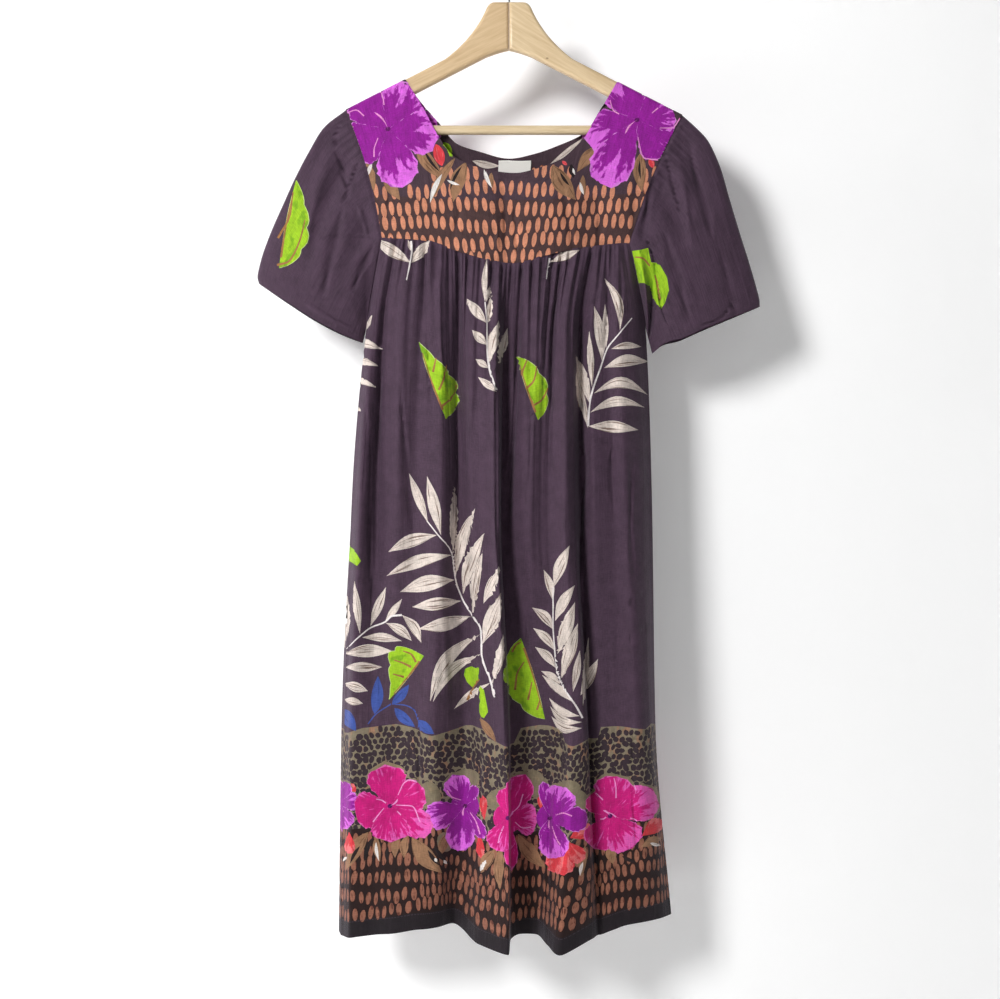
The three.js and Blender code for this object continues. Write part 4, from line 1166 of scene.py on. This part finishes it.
# Half leaves in lime: tip, base, how far they bulge from the rib and where most, how many
# lobes, and brown veins.
lime_leaves = [
    ((418.5, 342), (446, 419), 22, 0.66, 4, [
        [(433, 372), (436, 358)], [(439, 390), (444, 378), (447, 365)],
        [(442, 406), (452, 398), (457, 385)]]),
    ((517, 357), (538, 420), 20, 0.52, 3, [
        [(521, 375), (527, 360)], [(526, 389), (534, 380), (537, 366)],
        [(532, 406), (542, 400), (548, 388)]]),
    ((389, 700), (424, 656), 30, 0.72, 4, [
        [(416, 662), (411, 654), (403, 651)], [(411, 667), (403, 663), (394, 660)],
        [(404, 677), (393, 674)]]),
    ((545, 719), (521, 638), 28, 0.52, 4, [
        [(512, 652), (516, 645), (521, 642)], [(515, 690), (517, 674), (524, 662)],
        [(528, 700), (532, 682)], [(537, 710), (540, 700)]]),
]
lime_patches = [
    [(465, 669), (471, 666), (478, 668), (478, 680), (472, 687), (467, 682), (464, 675)],
    [(479, 685), (484, 690), (488, 712), (484, 718), (480, 716)],
    [(346, 543), (354, 550), (361, 561), (357, 566), (348, 561)],
    [(631, 251), (634, 249), (640, 251), (648, 248), (650, 262), (652, 285), (645, 283), (640, 283),
     (636, 270)],
]
brown_lines = [[(479, 679), (473, 688), (467, 700)], [(635, 257), (642, 258), (650, 262)]]
blue_stems = [[(368, 724), (376, 714), (391, 704)], [(392, 704), (404, 705), (414, 710), (418, 720)]]
blue_leaves = [((374.5, 714), (378, 676), 12, 0.03), ((392, 704), (409, 684.5), 9, 0.05),
               ((394.5, 708), (415, 727), 10, 0.04), ((418, 720), (434, 734), 10, 0.05),
               ((344, 709), (356, 731), 12, 0.05)]
# Flowers: ink, centre, tip of the pistil, then petals from the lowest one up (tip, width,
# how far the second ink runs in from the rim) and thin light lines.
border_flowers = [
    ("violet", (338, 803), (344, 812), [
        ((358, 800), 18, 0.5), ((347, 828), 20, 0.5), ((346, 782), 16, 0.3)], []),
    ("violet", (465, 806), (463, 816), [
        ((484, 838), 12, 0.2), ((476, 786), 11, 0.1), ((453, 776), 26, 0.62), ((426, 820), 27, 0.6),
        ((458, 850), 28, 0.6)], [
        [(470, 812), (476, 822), (480, 834)], [(461, 800), (452, 797), (447, 790)]]),
    ("magenta", (390, 806), (398, 799), [
        ((430, 832), 28, 0.4), ((355, 812), 36, 0.1), ((391, 841), 38, 0.3), ((424, 790), 31, 0.15),
        ((385, 766), 38, 0.1)], [
        [(376, 799), (381, 800), (386, 803)], [(396, 805), (412, 806), (420, 822)],
        [(397, 811), (399, 813), (401, 815)], [(384, 808), (379, 814), (373, 822)],
        [(398, 795), (404, 783), (410, 780), (417, 782)]]),
    ("magenta", (508, 818), (513, 811), [
        ((512, 868), 13, 0.1), ((505, 788), 18, 0.1), ((497, 850), 28, 0.2), ((537, 820), 31, 0.4),
        ((525, 776), 27, 0.15)], [
        [(513, 812), (519, 806), (523, 794)], [(504, 826), (500, 835), (498, 843)],
        [(515, 822), (523, 828), (531, 827)]]),
    ("violet", (550, 818), (549.5, 829), [
        ((543, 782), 12, 0.2), ((542, 840), 10, 0.2), ((588, 820), 24, 0.1), ((566, 788), 31, 0.62),
        ((556, 858), 29, 0.6)], [
        [(556, 815), (563, 813), (572, 816)], [(552, 826), (556, 838), (560, 845)]]),
    ("magenta", (610, 816), (603, 810), [
        ((590, 795), 23, 0.1), ((594, 848), 31, 0.2), ((657, 797), 35, 0.45), ((632, 848), 37, 0.45),
        ((617, 777), 41, 0.15)], [
        [(607, 812), (612, 814), (616, 817)], [(596, 793), (599, 796), (603, 800)],
        [(614, 778), (616, 788), (616, 798)], [(634, 785), (636, 790)],
        [(600, 819), (603, 819), (606, 817)],
        [(630, 818), (634, 819), (637, 821)]]),
]
coral_petals = [((568, 840), (556, 874), 30), ((568, 842), (582, 862), 18), ((570, 838), (592, 827), 17),
                ((642, 836), (662, 820), 15), ((484, 820), (483, 796), 8), ((479, 832), (481, 858), 8),
                ((350, 802), (351, 783), 11), ((349, 832), (350, 854), 11), ((541, 810), (540, 796), 6)]
tan_leaves = [((368, 832), (346, 870), 14), ((376, 836), (380, 862), 8), ((397, 836), (395, 858), 8),
              ((406, 836), (404, 858), 9), ((412, 838), (442, 873), 18), ((449, 833), (440, 856), 10),
              ((494, 850), (481, 873), 12), ((501, 846), (500, 890), 10), ((518, 834), (545, 868), 15),
              ((611, 845), (613, 864), 11), ((662, 838), (641, 847), 9), ((585, 846), (582, 877), 9)]
soot_gaps = [((360, 846), (350, 864), 3.5), ((372, 838), (364, 862), 5), ((428, 850), (440, 866), 4),
             ((434, 846), (449, 864), 5), ((388, 846), (387, 862), 4), ((490, 866), (486, 880), 3),
             ((592, 852), (600, 866), 5), ((622, 856), (636, 862), 4)]
white_bits = [((376, 842), (379, 861), 3.2), ((435, 858), (437, 862), 3), ((444, 860), (447, 864), 3),
              ((486, 860), (480, 872), 4), ((583, 862), (580, 876), 3.4), ((650, 843), (661, 845), 3.4),
              ((347, 857), (343, 861), 2.6)]
olive_patches = [((430, 796), 11, 15), ((465, 779), 15, 10), ((498, 800), 12, 11), ((535, 784), 11, 14),
                 ((566, 790), 15, 10), ((445, 842), 8, 10), ((580, 800), 8, 10)]
# where the spotted band starts, from the left edge to the right one
# the spotted band's top edge
pelt_top = [(348, 733), (363, 728), (396, 724), (422, 733), (432, 736), (458, 728), (473, 725.5),
            (483, 729), (488, 738), (498, 743), (514, 743), (521, 728), (539, 725), (560, 729),
            (564, 742), (583, 742), (598, 738), (601, 727), (626, 727), (646, 729), (652, 723),
            (672, 719)]


def leaf_at(piece, base, tip, width, kind, bend=0.0, widest=0.46, blunt=1.0):
    print_seen(piece, blade(base, tip, width, kind, bend, widest, blunt))


def line_at(piece, line, first, last, kind):
    print_seen(piece, ribbon(line, first, last, kind))


def lime_leaf(piece, tip, base, bulge, widest, lobes, veins):
    """A leaf cut along its rib, scalloped on the other side, with veins towards the notches."""
    tip, base = np.array(tip, float), np.array(base, float)
    axis = base - tip
    length = float(np.linalg.norm(axis))
    aside = np.array((axis[1], -axis[0])) / length
    power = math.log(0.5) / math.log(widest)

    def edge(t, grow):
        swell = max(math.sin(math.pi * t ** power), 0) ** 0.62
        notch = 1 - 0.14 * abs(math.cos(math.pi * lobes * t)) ** 6
        return tip + axis * t + aside * (bulge * swell * notch + grow)

    def rib(t, grow):
        return tip + axis * t - aside * (0.02 * length * math.sin(math.pi * t) + grow)
    ts = np.linspace(0, 1, 6 * lobes + 1)
    for grow, ink in ((0.6, "lime_rim"), (0.0, "lime")):
        outline = [edge(t, grow) for t in ts] + [rib(t, grow / 2) for t in (0.8, 0.6, 0.4, 0.2)]
        print_seen(piece, motif(outline, ink, tip, axis, bulge))
    line_at(piece, [rib(t, -0.7) for t in (0.14, 0.4, 0.65, 0.88)], 0.9, 2.2, "vein")
    for line in veins:
        line_at(piece, line, 2.4, 1.2, "vein")


def flower(piece, kind, centre, pistil, petals, lights, halo=True):
    """A round ground, petals with a light rim, light lines, the throat and the pistil."""
    middle = np.array(centre, float)
    if halo:
        for tip, width, feather in petals:
            if tip[1] < middle[1]:
                print_seen(piece, petal(middle, mix(middle, np.array(tip), 1.1), width * 1.06, "olive"))
    reach = float(np.mean([np.linalg.norm(tip - middle) for tip, _, _ in petals]))
    print_seen(piece, oval(middle, 0.4 * reach, 0.4 * reach, 0, kind, 16))
    for tip, width, feather in petals:
        print_seen(piece, petal(middle, mix(middle, np.array(tip), 1.02), width + 1.4, kind + "_rim"))
        print_seen(piece, petal(middle, tip, width, kind, feather))
    for line in lights:
        line_at(piece, line, 0.8, 1.3, "pink_line")
    print_seen(piece, oval(middle, 2.6, 2.2, 0.3, "throat"))
    print_seen(piece, blade(middle, pistil, 1.9, "pink_line", 0.1, 0.7, 0.7, 6))


# The border is measured up from the hem's fold (mm): the dark ground's top, the plain hem's.
dark_high, hem_high = 133, 21
spot_pitch, spot_row_pitch, spot_corners, hem_row_pitch = 8.2, 7.4, 8, 18.8


def draw_border(piece, top_line, rng):
    """Spotted band, dark ground with rows of ovals, and the plain hem, from side to side."""
    wide, foot = piece["wide"], piece["long"] + piece["hem"]
    dark_top, hem_top = piece["long"] - dark_high, piece["long"] - hem_high
    print_flat(piece, motif(top_line + [(wide + 5, dark_top + 8), (-5, dark_top + 8)], "pelt"))
    ts, vs = np.array(top_line).T
    for row, v in enumerate(np.arange(min(vs) + 4.5, dark_top + 4, spot_row_pitch)):
        for u in np.arange(3 + (row % 2) * spot_pitch / 2, wide - 1, spot_pitch):
            centre = np.array((u + rng.uniform(-1.4, 1.4), v + rng.uniform(-1.3, 1.3)))
            if centre[1] < np.interp(centre[0], ts, vs) + 3.6 or rng.random() < 0.04:
                continue
            size, stretch, turn = rng.uniform(3.6, 4.7), rng.uniform(0.85, 1.25), rng.uniform(0, math.pi)
            outline = []
            for k in range(spot_corners):
                radius = size * rng.uniform(0.84, 1.1)
                x = radius * stretch * math.cos(k * 2 * math.pi / spot_corners)
                y = radius / stretch * math.sin(k * 2 * math.pi / spot_corners)
                outline.append(centre + (x * math.cos(turn) - y * math.sin(turn),
                                         x * math.sin(turn) + y * math.cos(turn)))
            print_flat(piece, motif(outline, "spot", half=3.0))
    for ink, high, low in (("dark", dark_top, hem_top), ("hem", hem_top, foot + 5)):
        print_flat(piece, motif([(-5, high), (wide + 5, high), (wide + 5, low), (-5, low)], ink))
    for row, v in enumerate(np.arange(dark_top + 8, hem_top - 4, hem_row_pitch)):
        u = rng.uniform(1, 9)
        while u < wide:
            wave = 4.0 * math.sin(u / 41 + row * 1.4) + rng.uniform(-2.4, 2.4)
            print_flat(piece, oval((u, v + wave), rng.uniform(2.9, 3.7), rng.uniform(7.2, 8.8),
                                   rng.uniform(-0.16, 0.1), "hem_oval"))
            u += rng.uniform(8.8, 11.2)
    stitches(piece, (2, hem_top + 1.6), (wide - 2, hem_top + 1.6))


def draw_panel(piece, top_line, rng):
    """The whole print of a panel, from the border up, the flowers last."""
    draw_border(piece, top_line, rng)
    for frond in fronds:
        for base, tip, width, bend in frond["leaflets"]:
            leaf_at(piece, base, tip, width, "cream", bend, 0.5, 1.18)
        line_at(piece, frond["stem"], 1.1, 2.0, "stem")
    for outline in lime_patches:
        print_seen(piece, motif(outline, "lime"))
    for leaf in lime_leaves:
        lime_leaf(piece, *leaf)
    for line in brown_lines:
        line_at(piece, line, 1.6, 2.0, "vein")
    for line in blue_stems:
        line_at(piece, line, 1.1, 1.2, "blue")
    for base, tip, width, bend in blue_leaves:
        leaf_at(piece, base, tip, width, "blue", bend, 0.45, 0.9)
    leaf_at(piece, (480, 718), (496, 742), 8, "tan")
    for centre, half_wide, half_high in olive_patches:
        print_seen(piece, oval(centre, half_wide, half_high, 0.2, "olive", 14))
    for kind, leaves in (("tan", tan_leaves), ("soot", soot_gaps), ("white", white_bits)):
        for base, tip, width in leaves:
            leaf_at(piece, base, tip, width, kind, 0.05)
    for base, tip, width in coral_petals:
        print_seen(piece, petal(base, tip, width, "coral", 0.2))
    for bloom in border_flowers:
        flower(piece, *bloom)


# Front panel: the long skirt front of printed cotton, 0.59 m of cloth gathered into the yoke,
# its hem turned up 18 mm and stitched. Fronds, lime leaves and a flowered border are printed.
panel_long, panel_hem = 872.0, 18.0
front_panel = new_piece("cloth_front_panel", "front_panel", front_form, -1, None, panel_long, panel_hem)
top_line = sorted(tuple(find(front_panel, *spot)) for spot in pelt_top)
top_line = [(-5.0, top_line[0][1])] + top_line + [(front_panel["wide"] + 5, top_line[-1][1])]
draw_panel(front_panel, top_line, random.Random(5))
panel_rows = [0, 1.5, 3, 5, 8, 12, 17, 23, 30, 38, 47] + list(np.linspace(57, panel_long, 88))
panel_rows += [panel_long + more for more in (0.6, 1.5, 6, 12, panel_hem)]
front_cloth = sew(front_panel, "body", 3.0, panel_rows, dense=150)


# Back panel: the same cotton behind, gathered into the back yoke in softer, more even folds.
# It has the front's print at the same places, and its hem is turned up and stitched too.
back_panel = new_piece("cloth_back_panel", "back_panel", back_form, 1, None, panel_long, panel_hem,
                       outward=-1)
band_start = float(np.mean([v for _, v in top_line]))
back_line = [(u, band_start + 5 * math.sin(u / 60)) for u in np.linspace(-5, back_panel["wide"] + 5, 24)]
draw_panel(back_panel, back_line, random.Random(8))
back_cloth = sew(back_panel, "body", 3.2, panel_rows, dense=150)


# Yokes: flat fronts and backs over the shoulders, printed with rows of ovals and a large
# flower on each shoulder. The seam to the panel below is covered by the yoke's edge.
shoulder_flowers = [
    ("violet", (388, 129), (374, 112), [
        ((350, 150), 44, 0.1), ((360, 92), 46, 0.15), ((412, 85), 46, 0.6), ((439, 134), 44, 0.62),
        ((402, 186), 40, 0.62)], [
        [(380, 90), (383, 98), (384, 105)], [(347, 113), (356, 110), (364, 116)],
        [(378, 138), (374, 150), (374, 157)]]),
    ("violet", (637, 120), (625, 134), [
        ((668, 152), 42, 0.2), ((670, 102), 50, 0.4), ((618, 78), 46, 0.6), ((584, 136), 44, 0.62),
        ((600, 184), 42, 0.62)], [
        [(610, 100), (613, 110), (619, 114)], [(652, 113), (658, 108)],
        [(660, 128), (672, 128), (680, 118)], [(638, 137), (640, 148), (644, 158), (658, 160)]]),
]
yoke_tan = [((415, 142), (445, 180), 14), ((466, 162), (453, 202), 15), ((385, 172), (400, 200), 12),
            ((371, 166), (374, 191), 9), ((365, 160), (370, 168), 6), ((491, 172), (493, 188), 5),
            ((552, 165), (576, 200), 18), ((600, 146), (577, 172), 12), ((583, 175), (585, 196), 6),
            ((641, 152), (642, 192), 13), ((455, 158), (430, 203), 9)]
yoke_soot = [((424, 150), (440, 172), 3), ((462, 166), (450, 190), 3), ((571, 164), (574, 178), 6),
             ((560, 172), (570, 186), 3), ((640, 160), (641, 180), 2.4)]
yoke_white = [((442, 174), (430, 203), 5), ((447, 180), (460, 185), 2.8), ((372, 163), (368, 176), 4),
              ((484, 169), (492, 188), 4), ((580, 182), (584, 195), 3.4), ((573, 168), (575, 175), 2.4)]
yoke_coral = [((436, 144), (442, 166), 11), ((650, 158), (653, 168), 6), ((562, 161), (567, 165), 3.4)]
# the oval rows start below the flowers and the neck edge: by column, the first row's pixel
ovals_from = ([335, 352, 380, 404, 440, 470, 510, 556, 590, 620, 650, 690],
              [158, 166, 184, 196, 166, 172, 178, 164, 180, 192, 172, 164])


def yoke_print(piece, rng, low, back):
    """Rows of ovals down to the pixel row low, leaves, and the flowers on the shoulders."""
    print_seen(piece, motif([(330, 190), (370, 194), (420, 198), (470, 200), (545, 200), (600, 196),
                             (640, 193), (690, 190), (700, 280), (320, 280)], "yoke_low"))
    for row in range(10):
        px = 338 + rng.uniform(0, 6)
        while px < 682:
            py = 104 + row * 17.2 + 2.8 * math.sin(px / 29 + row * 1.3) + rng.uniform(-1.6, 1.6)
            lean = (0.12 if px < hanger_px else -0.12) + rng.uniform(-0.04, 0.04)
            if np.interp(px, *ovals_from) < py < low:
                half_wide, half_high = rng.uniform(2.4, 3.0), rng.uniform(6.9, 8.0)
                print_seen(piece, oval((px, py), half_wide, half_high, lean, "oval"))
            px += rng.uniform(7.6, 9.2)
    for kind, leaves in (("tan", yoke_tan), ("soot", yoke_soot)):
        for base, tip, width in leaves:
            leaf_at(piece, base, tip, width, kind, 0.05)
    for base, tip, width in yoke_coral:
        leaf_at(piece, base, tip, width, "coral", 0.0, 0.5, 0.7)
    line_at(piece, [(444, 143), (449, 149), (451, 156)], 4, 3, "lime")
    for base, tip, width in yoke_white:
        leaf_at(piece, base, tip, width, "white", 0.05)
    for bloom in shoulder_flowers:
        flower(piece, *bloom, halo=False)
    if back:
        # the bits of the print that show inside the neck
        leaf_at(piece, (472, 158), (500, 163), 7, "cream", 0.05)
        leaf_at(piece, (548, 163), (583, 136), 8, "cream", 0.05, 0.5, 1.18)
        leaf_at(piece, (443, 140), (452, 150), 6, "lime", 0.0)


yoke_wide, yoke_long = 440.0, 190.0
yoke_rows = [0, 0.4, 1.0, 1.8, 3, 4.5, 6.5, 9, 12, 15] + list(np.linspace(19, yoke_long, 48))
yokes = {}
for name, form, side, low in (("front", front_yoke_form, -1, 262), ("back", back_yoke_form, 1, 252)):
    yoke = new_piece(f"cloth_{name}_yoke", f"{name}_yoke", form, side, yoke_wide, yoke_long, outward=-side)
    yoke_print(yoke, random.Random(11 + side), low, side > 0)
    cloth = sew(yoke, "yoke", 2.6, yoke_rows)
    yokes[name] = yoke


# Sleeves: plain dark cotton with a lime leaf, set into the armholes with a gathered cap, their
# wide open cuffs turned in 11 mm and stitched.
sleeve_wide, sleeve_long, sleeve_hem = 470.0, 190.0, 11.0
sleeve_rows = [0, 1.5, 3, 4.5, 6.5, 9, 12] + list(np.linspace(16, sleeve_long, 40)) + [
    sleeve_long + more for more in (0.6, 1.5, 6, sleeve_hem)]
sleeve_leaf = ((296, 180), (279, 268), 23, 0.6, 4, [
    [(278, 238), (290, 215), (293, 192)], [(277, 265), (288, 262), (300, 240), (305, 220)]])
sleeve_patch = [(632, 251), (640, 250), (648, 248), (651, 262), (660, 265), (667, 277), (669, 290),
                (665, 303), (661, 309), (653, 298), (650, 286), (644, 283), (638, 283), (636, 270)]
for name, form, outward in (("left", left_sleeve_form, 1), ("right", right_sleeve_form, -1)):
    sleeve = new_piece(f"cloth_sleeve_{name}", f"sleeve_{name}", form, -1, sleeve_wide, sleeve_long,
                       sleeve_hem, ring=True, outward=outward)
    if name == "left":
        lime_leaf(sleeve, *sleeve_leaf)
    else:
        print_seen(sleeve, motif(sleeve_patch, "lime"))
        for line in ([(655, 275), (658, 288), (660, 300)], [(635, 257), (642, 258), (650, 266)]):
            line_at(sleeve, line, 1.6, 1.9, "vein")
    stitches(sleeve, (1, sleeve_long - sleeve_hem), (sleeve["wide"] - 1, sleeve_long - sleeve_hem))
    cloth = sew(sleeve, "body", 3.0, sleeve_rows)


# Neck label: a small woven satin label, blank, folded in two at its foot and sewn by its
# top edge inside the back neck.
label_left, label_right, label_top, label_foot = -13.8, 28.6, -252.0, -285.0
label_net = 6
spots = [(x, z) for x in np.linspace(label_left, label_right, label_net)
         for z in np.linspace(label_top, label_foot, label_net)]
deep = []
for x, z in spots:
    at = find(yokes["back"], hanger_px + x / pixel, middle_py - (z - camera_at[2] * 1000) / pixel)
    deep.append(back_yoke_form(np.array([at[0] / yoke_wide]), np.array([at[1] / yoke_long]))[0, 1])
terms = [(1, x, z, x * z, z * z) for x, z in spots]
fit = np.linalg.lstsq(np.array(terms), np.array(deep), rcond=None)[0]
label_clear, label_thick, edge_swell = 1.75, 0.4, 0.35


def label_back(x, z):
    """Depth (mm) of the label's back at a place: a smooth copy of the yoke behind it."""
    return float(np.dot((1, x, z, x * z, z * z), fit)) - label_clear


points, faces = [], []
across_steps, down_steps = 28, 24
for layer in (0, 1):
    for j in range(down_steps + 1):
        for i in range(across_steps + 1):
            a, d = i / across_steps, j / down_steps
            x = mix(label_left, label_right, a) + 0.25 * math.sin(9 * d + 1)
            z = mix(label_top, label_foot, d) + 0.3 * math.sin(7 * a)
            y = label_back(x, z) - 0.8 * d * d * math.sin(math.pi * a)
            y -= edge_swell * math.exp(-((d - 0.05) / 0.05) ** 2) + layer * label_thick
            points.append((x / 1000, y / 1000, z / 1000))
stride = (across_steps + 1) * (down_steps + 1)
for j in range(down_steps):
    for i in range(across_steps):
        k = j * (across_steps + 1) + i
        quad = (k, k + across_steps + 1, k + across_steps + 2, k + 1)
        faces += [quad[::-1], tuple(spot + stride for spot in quad)]
ring = list(range(across_steps + 1))
ring += [j * (across_steps + 1) + across_steps for j in range(1, down_steps + 1)]
ring += [down_steps * (across_steps + 1) + i for i in range(across_steps - 1, -1, -1)]
ring += [j * (across_steps + 1) for j in range(down_steps - 1, 0, -1)]
faces += [(a, b, b + stride, a + stride) for a, b in zip(ring, ring[1:] + ring[:1])]
satin, tree = new_material("label_satin")
place = add_node(tree, "ShaderNodeTexCoord")
threads = add_node(tree, "ShaderNodeMapping", {"Vector": place.outputs["Object"], "Scale": (2600, 1, 900)})
ridges = add_node(tree, "ShaderNodeTexNoise", {
    "Vector": threads, "Scale": 1.0, "Detail": 3, "Roughness": 0.6})
shade = add_node(tree, "ShaderNodeMix", {
    0: ridges.outputs["Fac"], 6: (*dye(226, 222, 214), 1), 7: (*dye(246, 244, 240), 1)}, data_type="RGBA")
raised = add_node(tree, "ShaderNodeBump", {
    "Height": ridges.outputs["Fac"], "Strength": 0.25, "Distance": 0.00012})
skin = add_node(tree, "ShaderNodeBsdfPrincipled", {
    "Base Color": shade.outputs[2], "Normal": raised, "Roughness": 0.42, "Sheen Weight": 0.3,
    "Sheen Roughness": 0.4, "Specular IOR Level": 0.45})
add_node(tree, "ShaderNodeOutputMaterial", {"Surface": skin})
# a row of stitches just below its top edge
label_stitches = 13
for k in range(label_stitches):
    first = mix(label_left, label_right, (k + 0.3) / label_stitches) + 0.2
    corners = []
    for x in (first, first + 2.0):
        for z, out in ((label_top - 1.5, 0.0), (label_top - 1.75, 0.3), (label_top - 2.0, 0.0)):
            y = label_back(x, z) - edge_swell - label_thick - out
            corners.append((x / 1000, y / 1000, z / 1000))
    base = len(points)
    points += corners
    faces += [(base, base + 3, base + 4, base + 1), (base + 1, base + 4, base + 5, base + 2)]
label = mesh_piece("satin_label", points, faces, satin)
label.data.set_sharp_from_angle(angle=math.radians(50))
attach(label, "root")
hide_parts("neck_label")
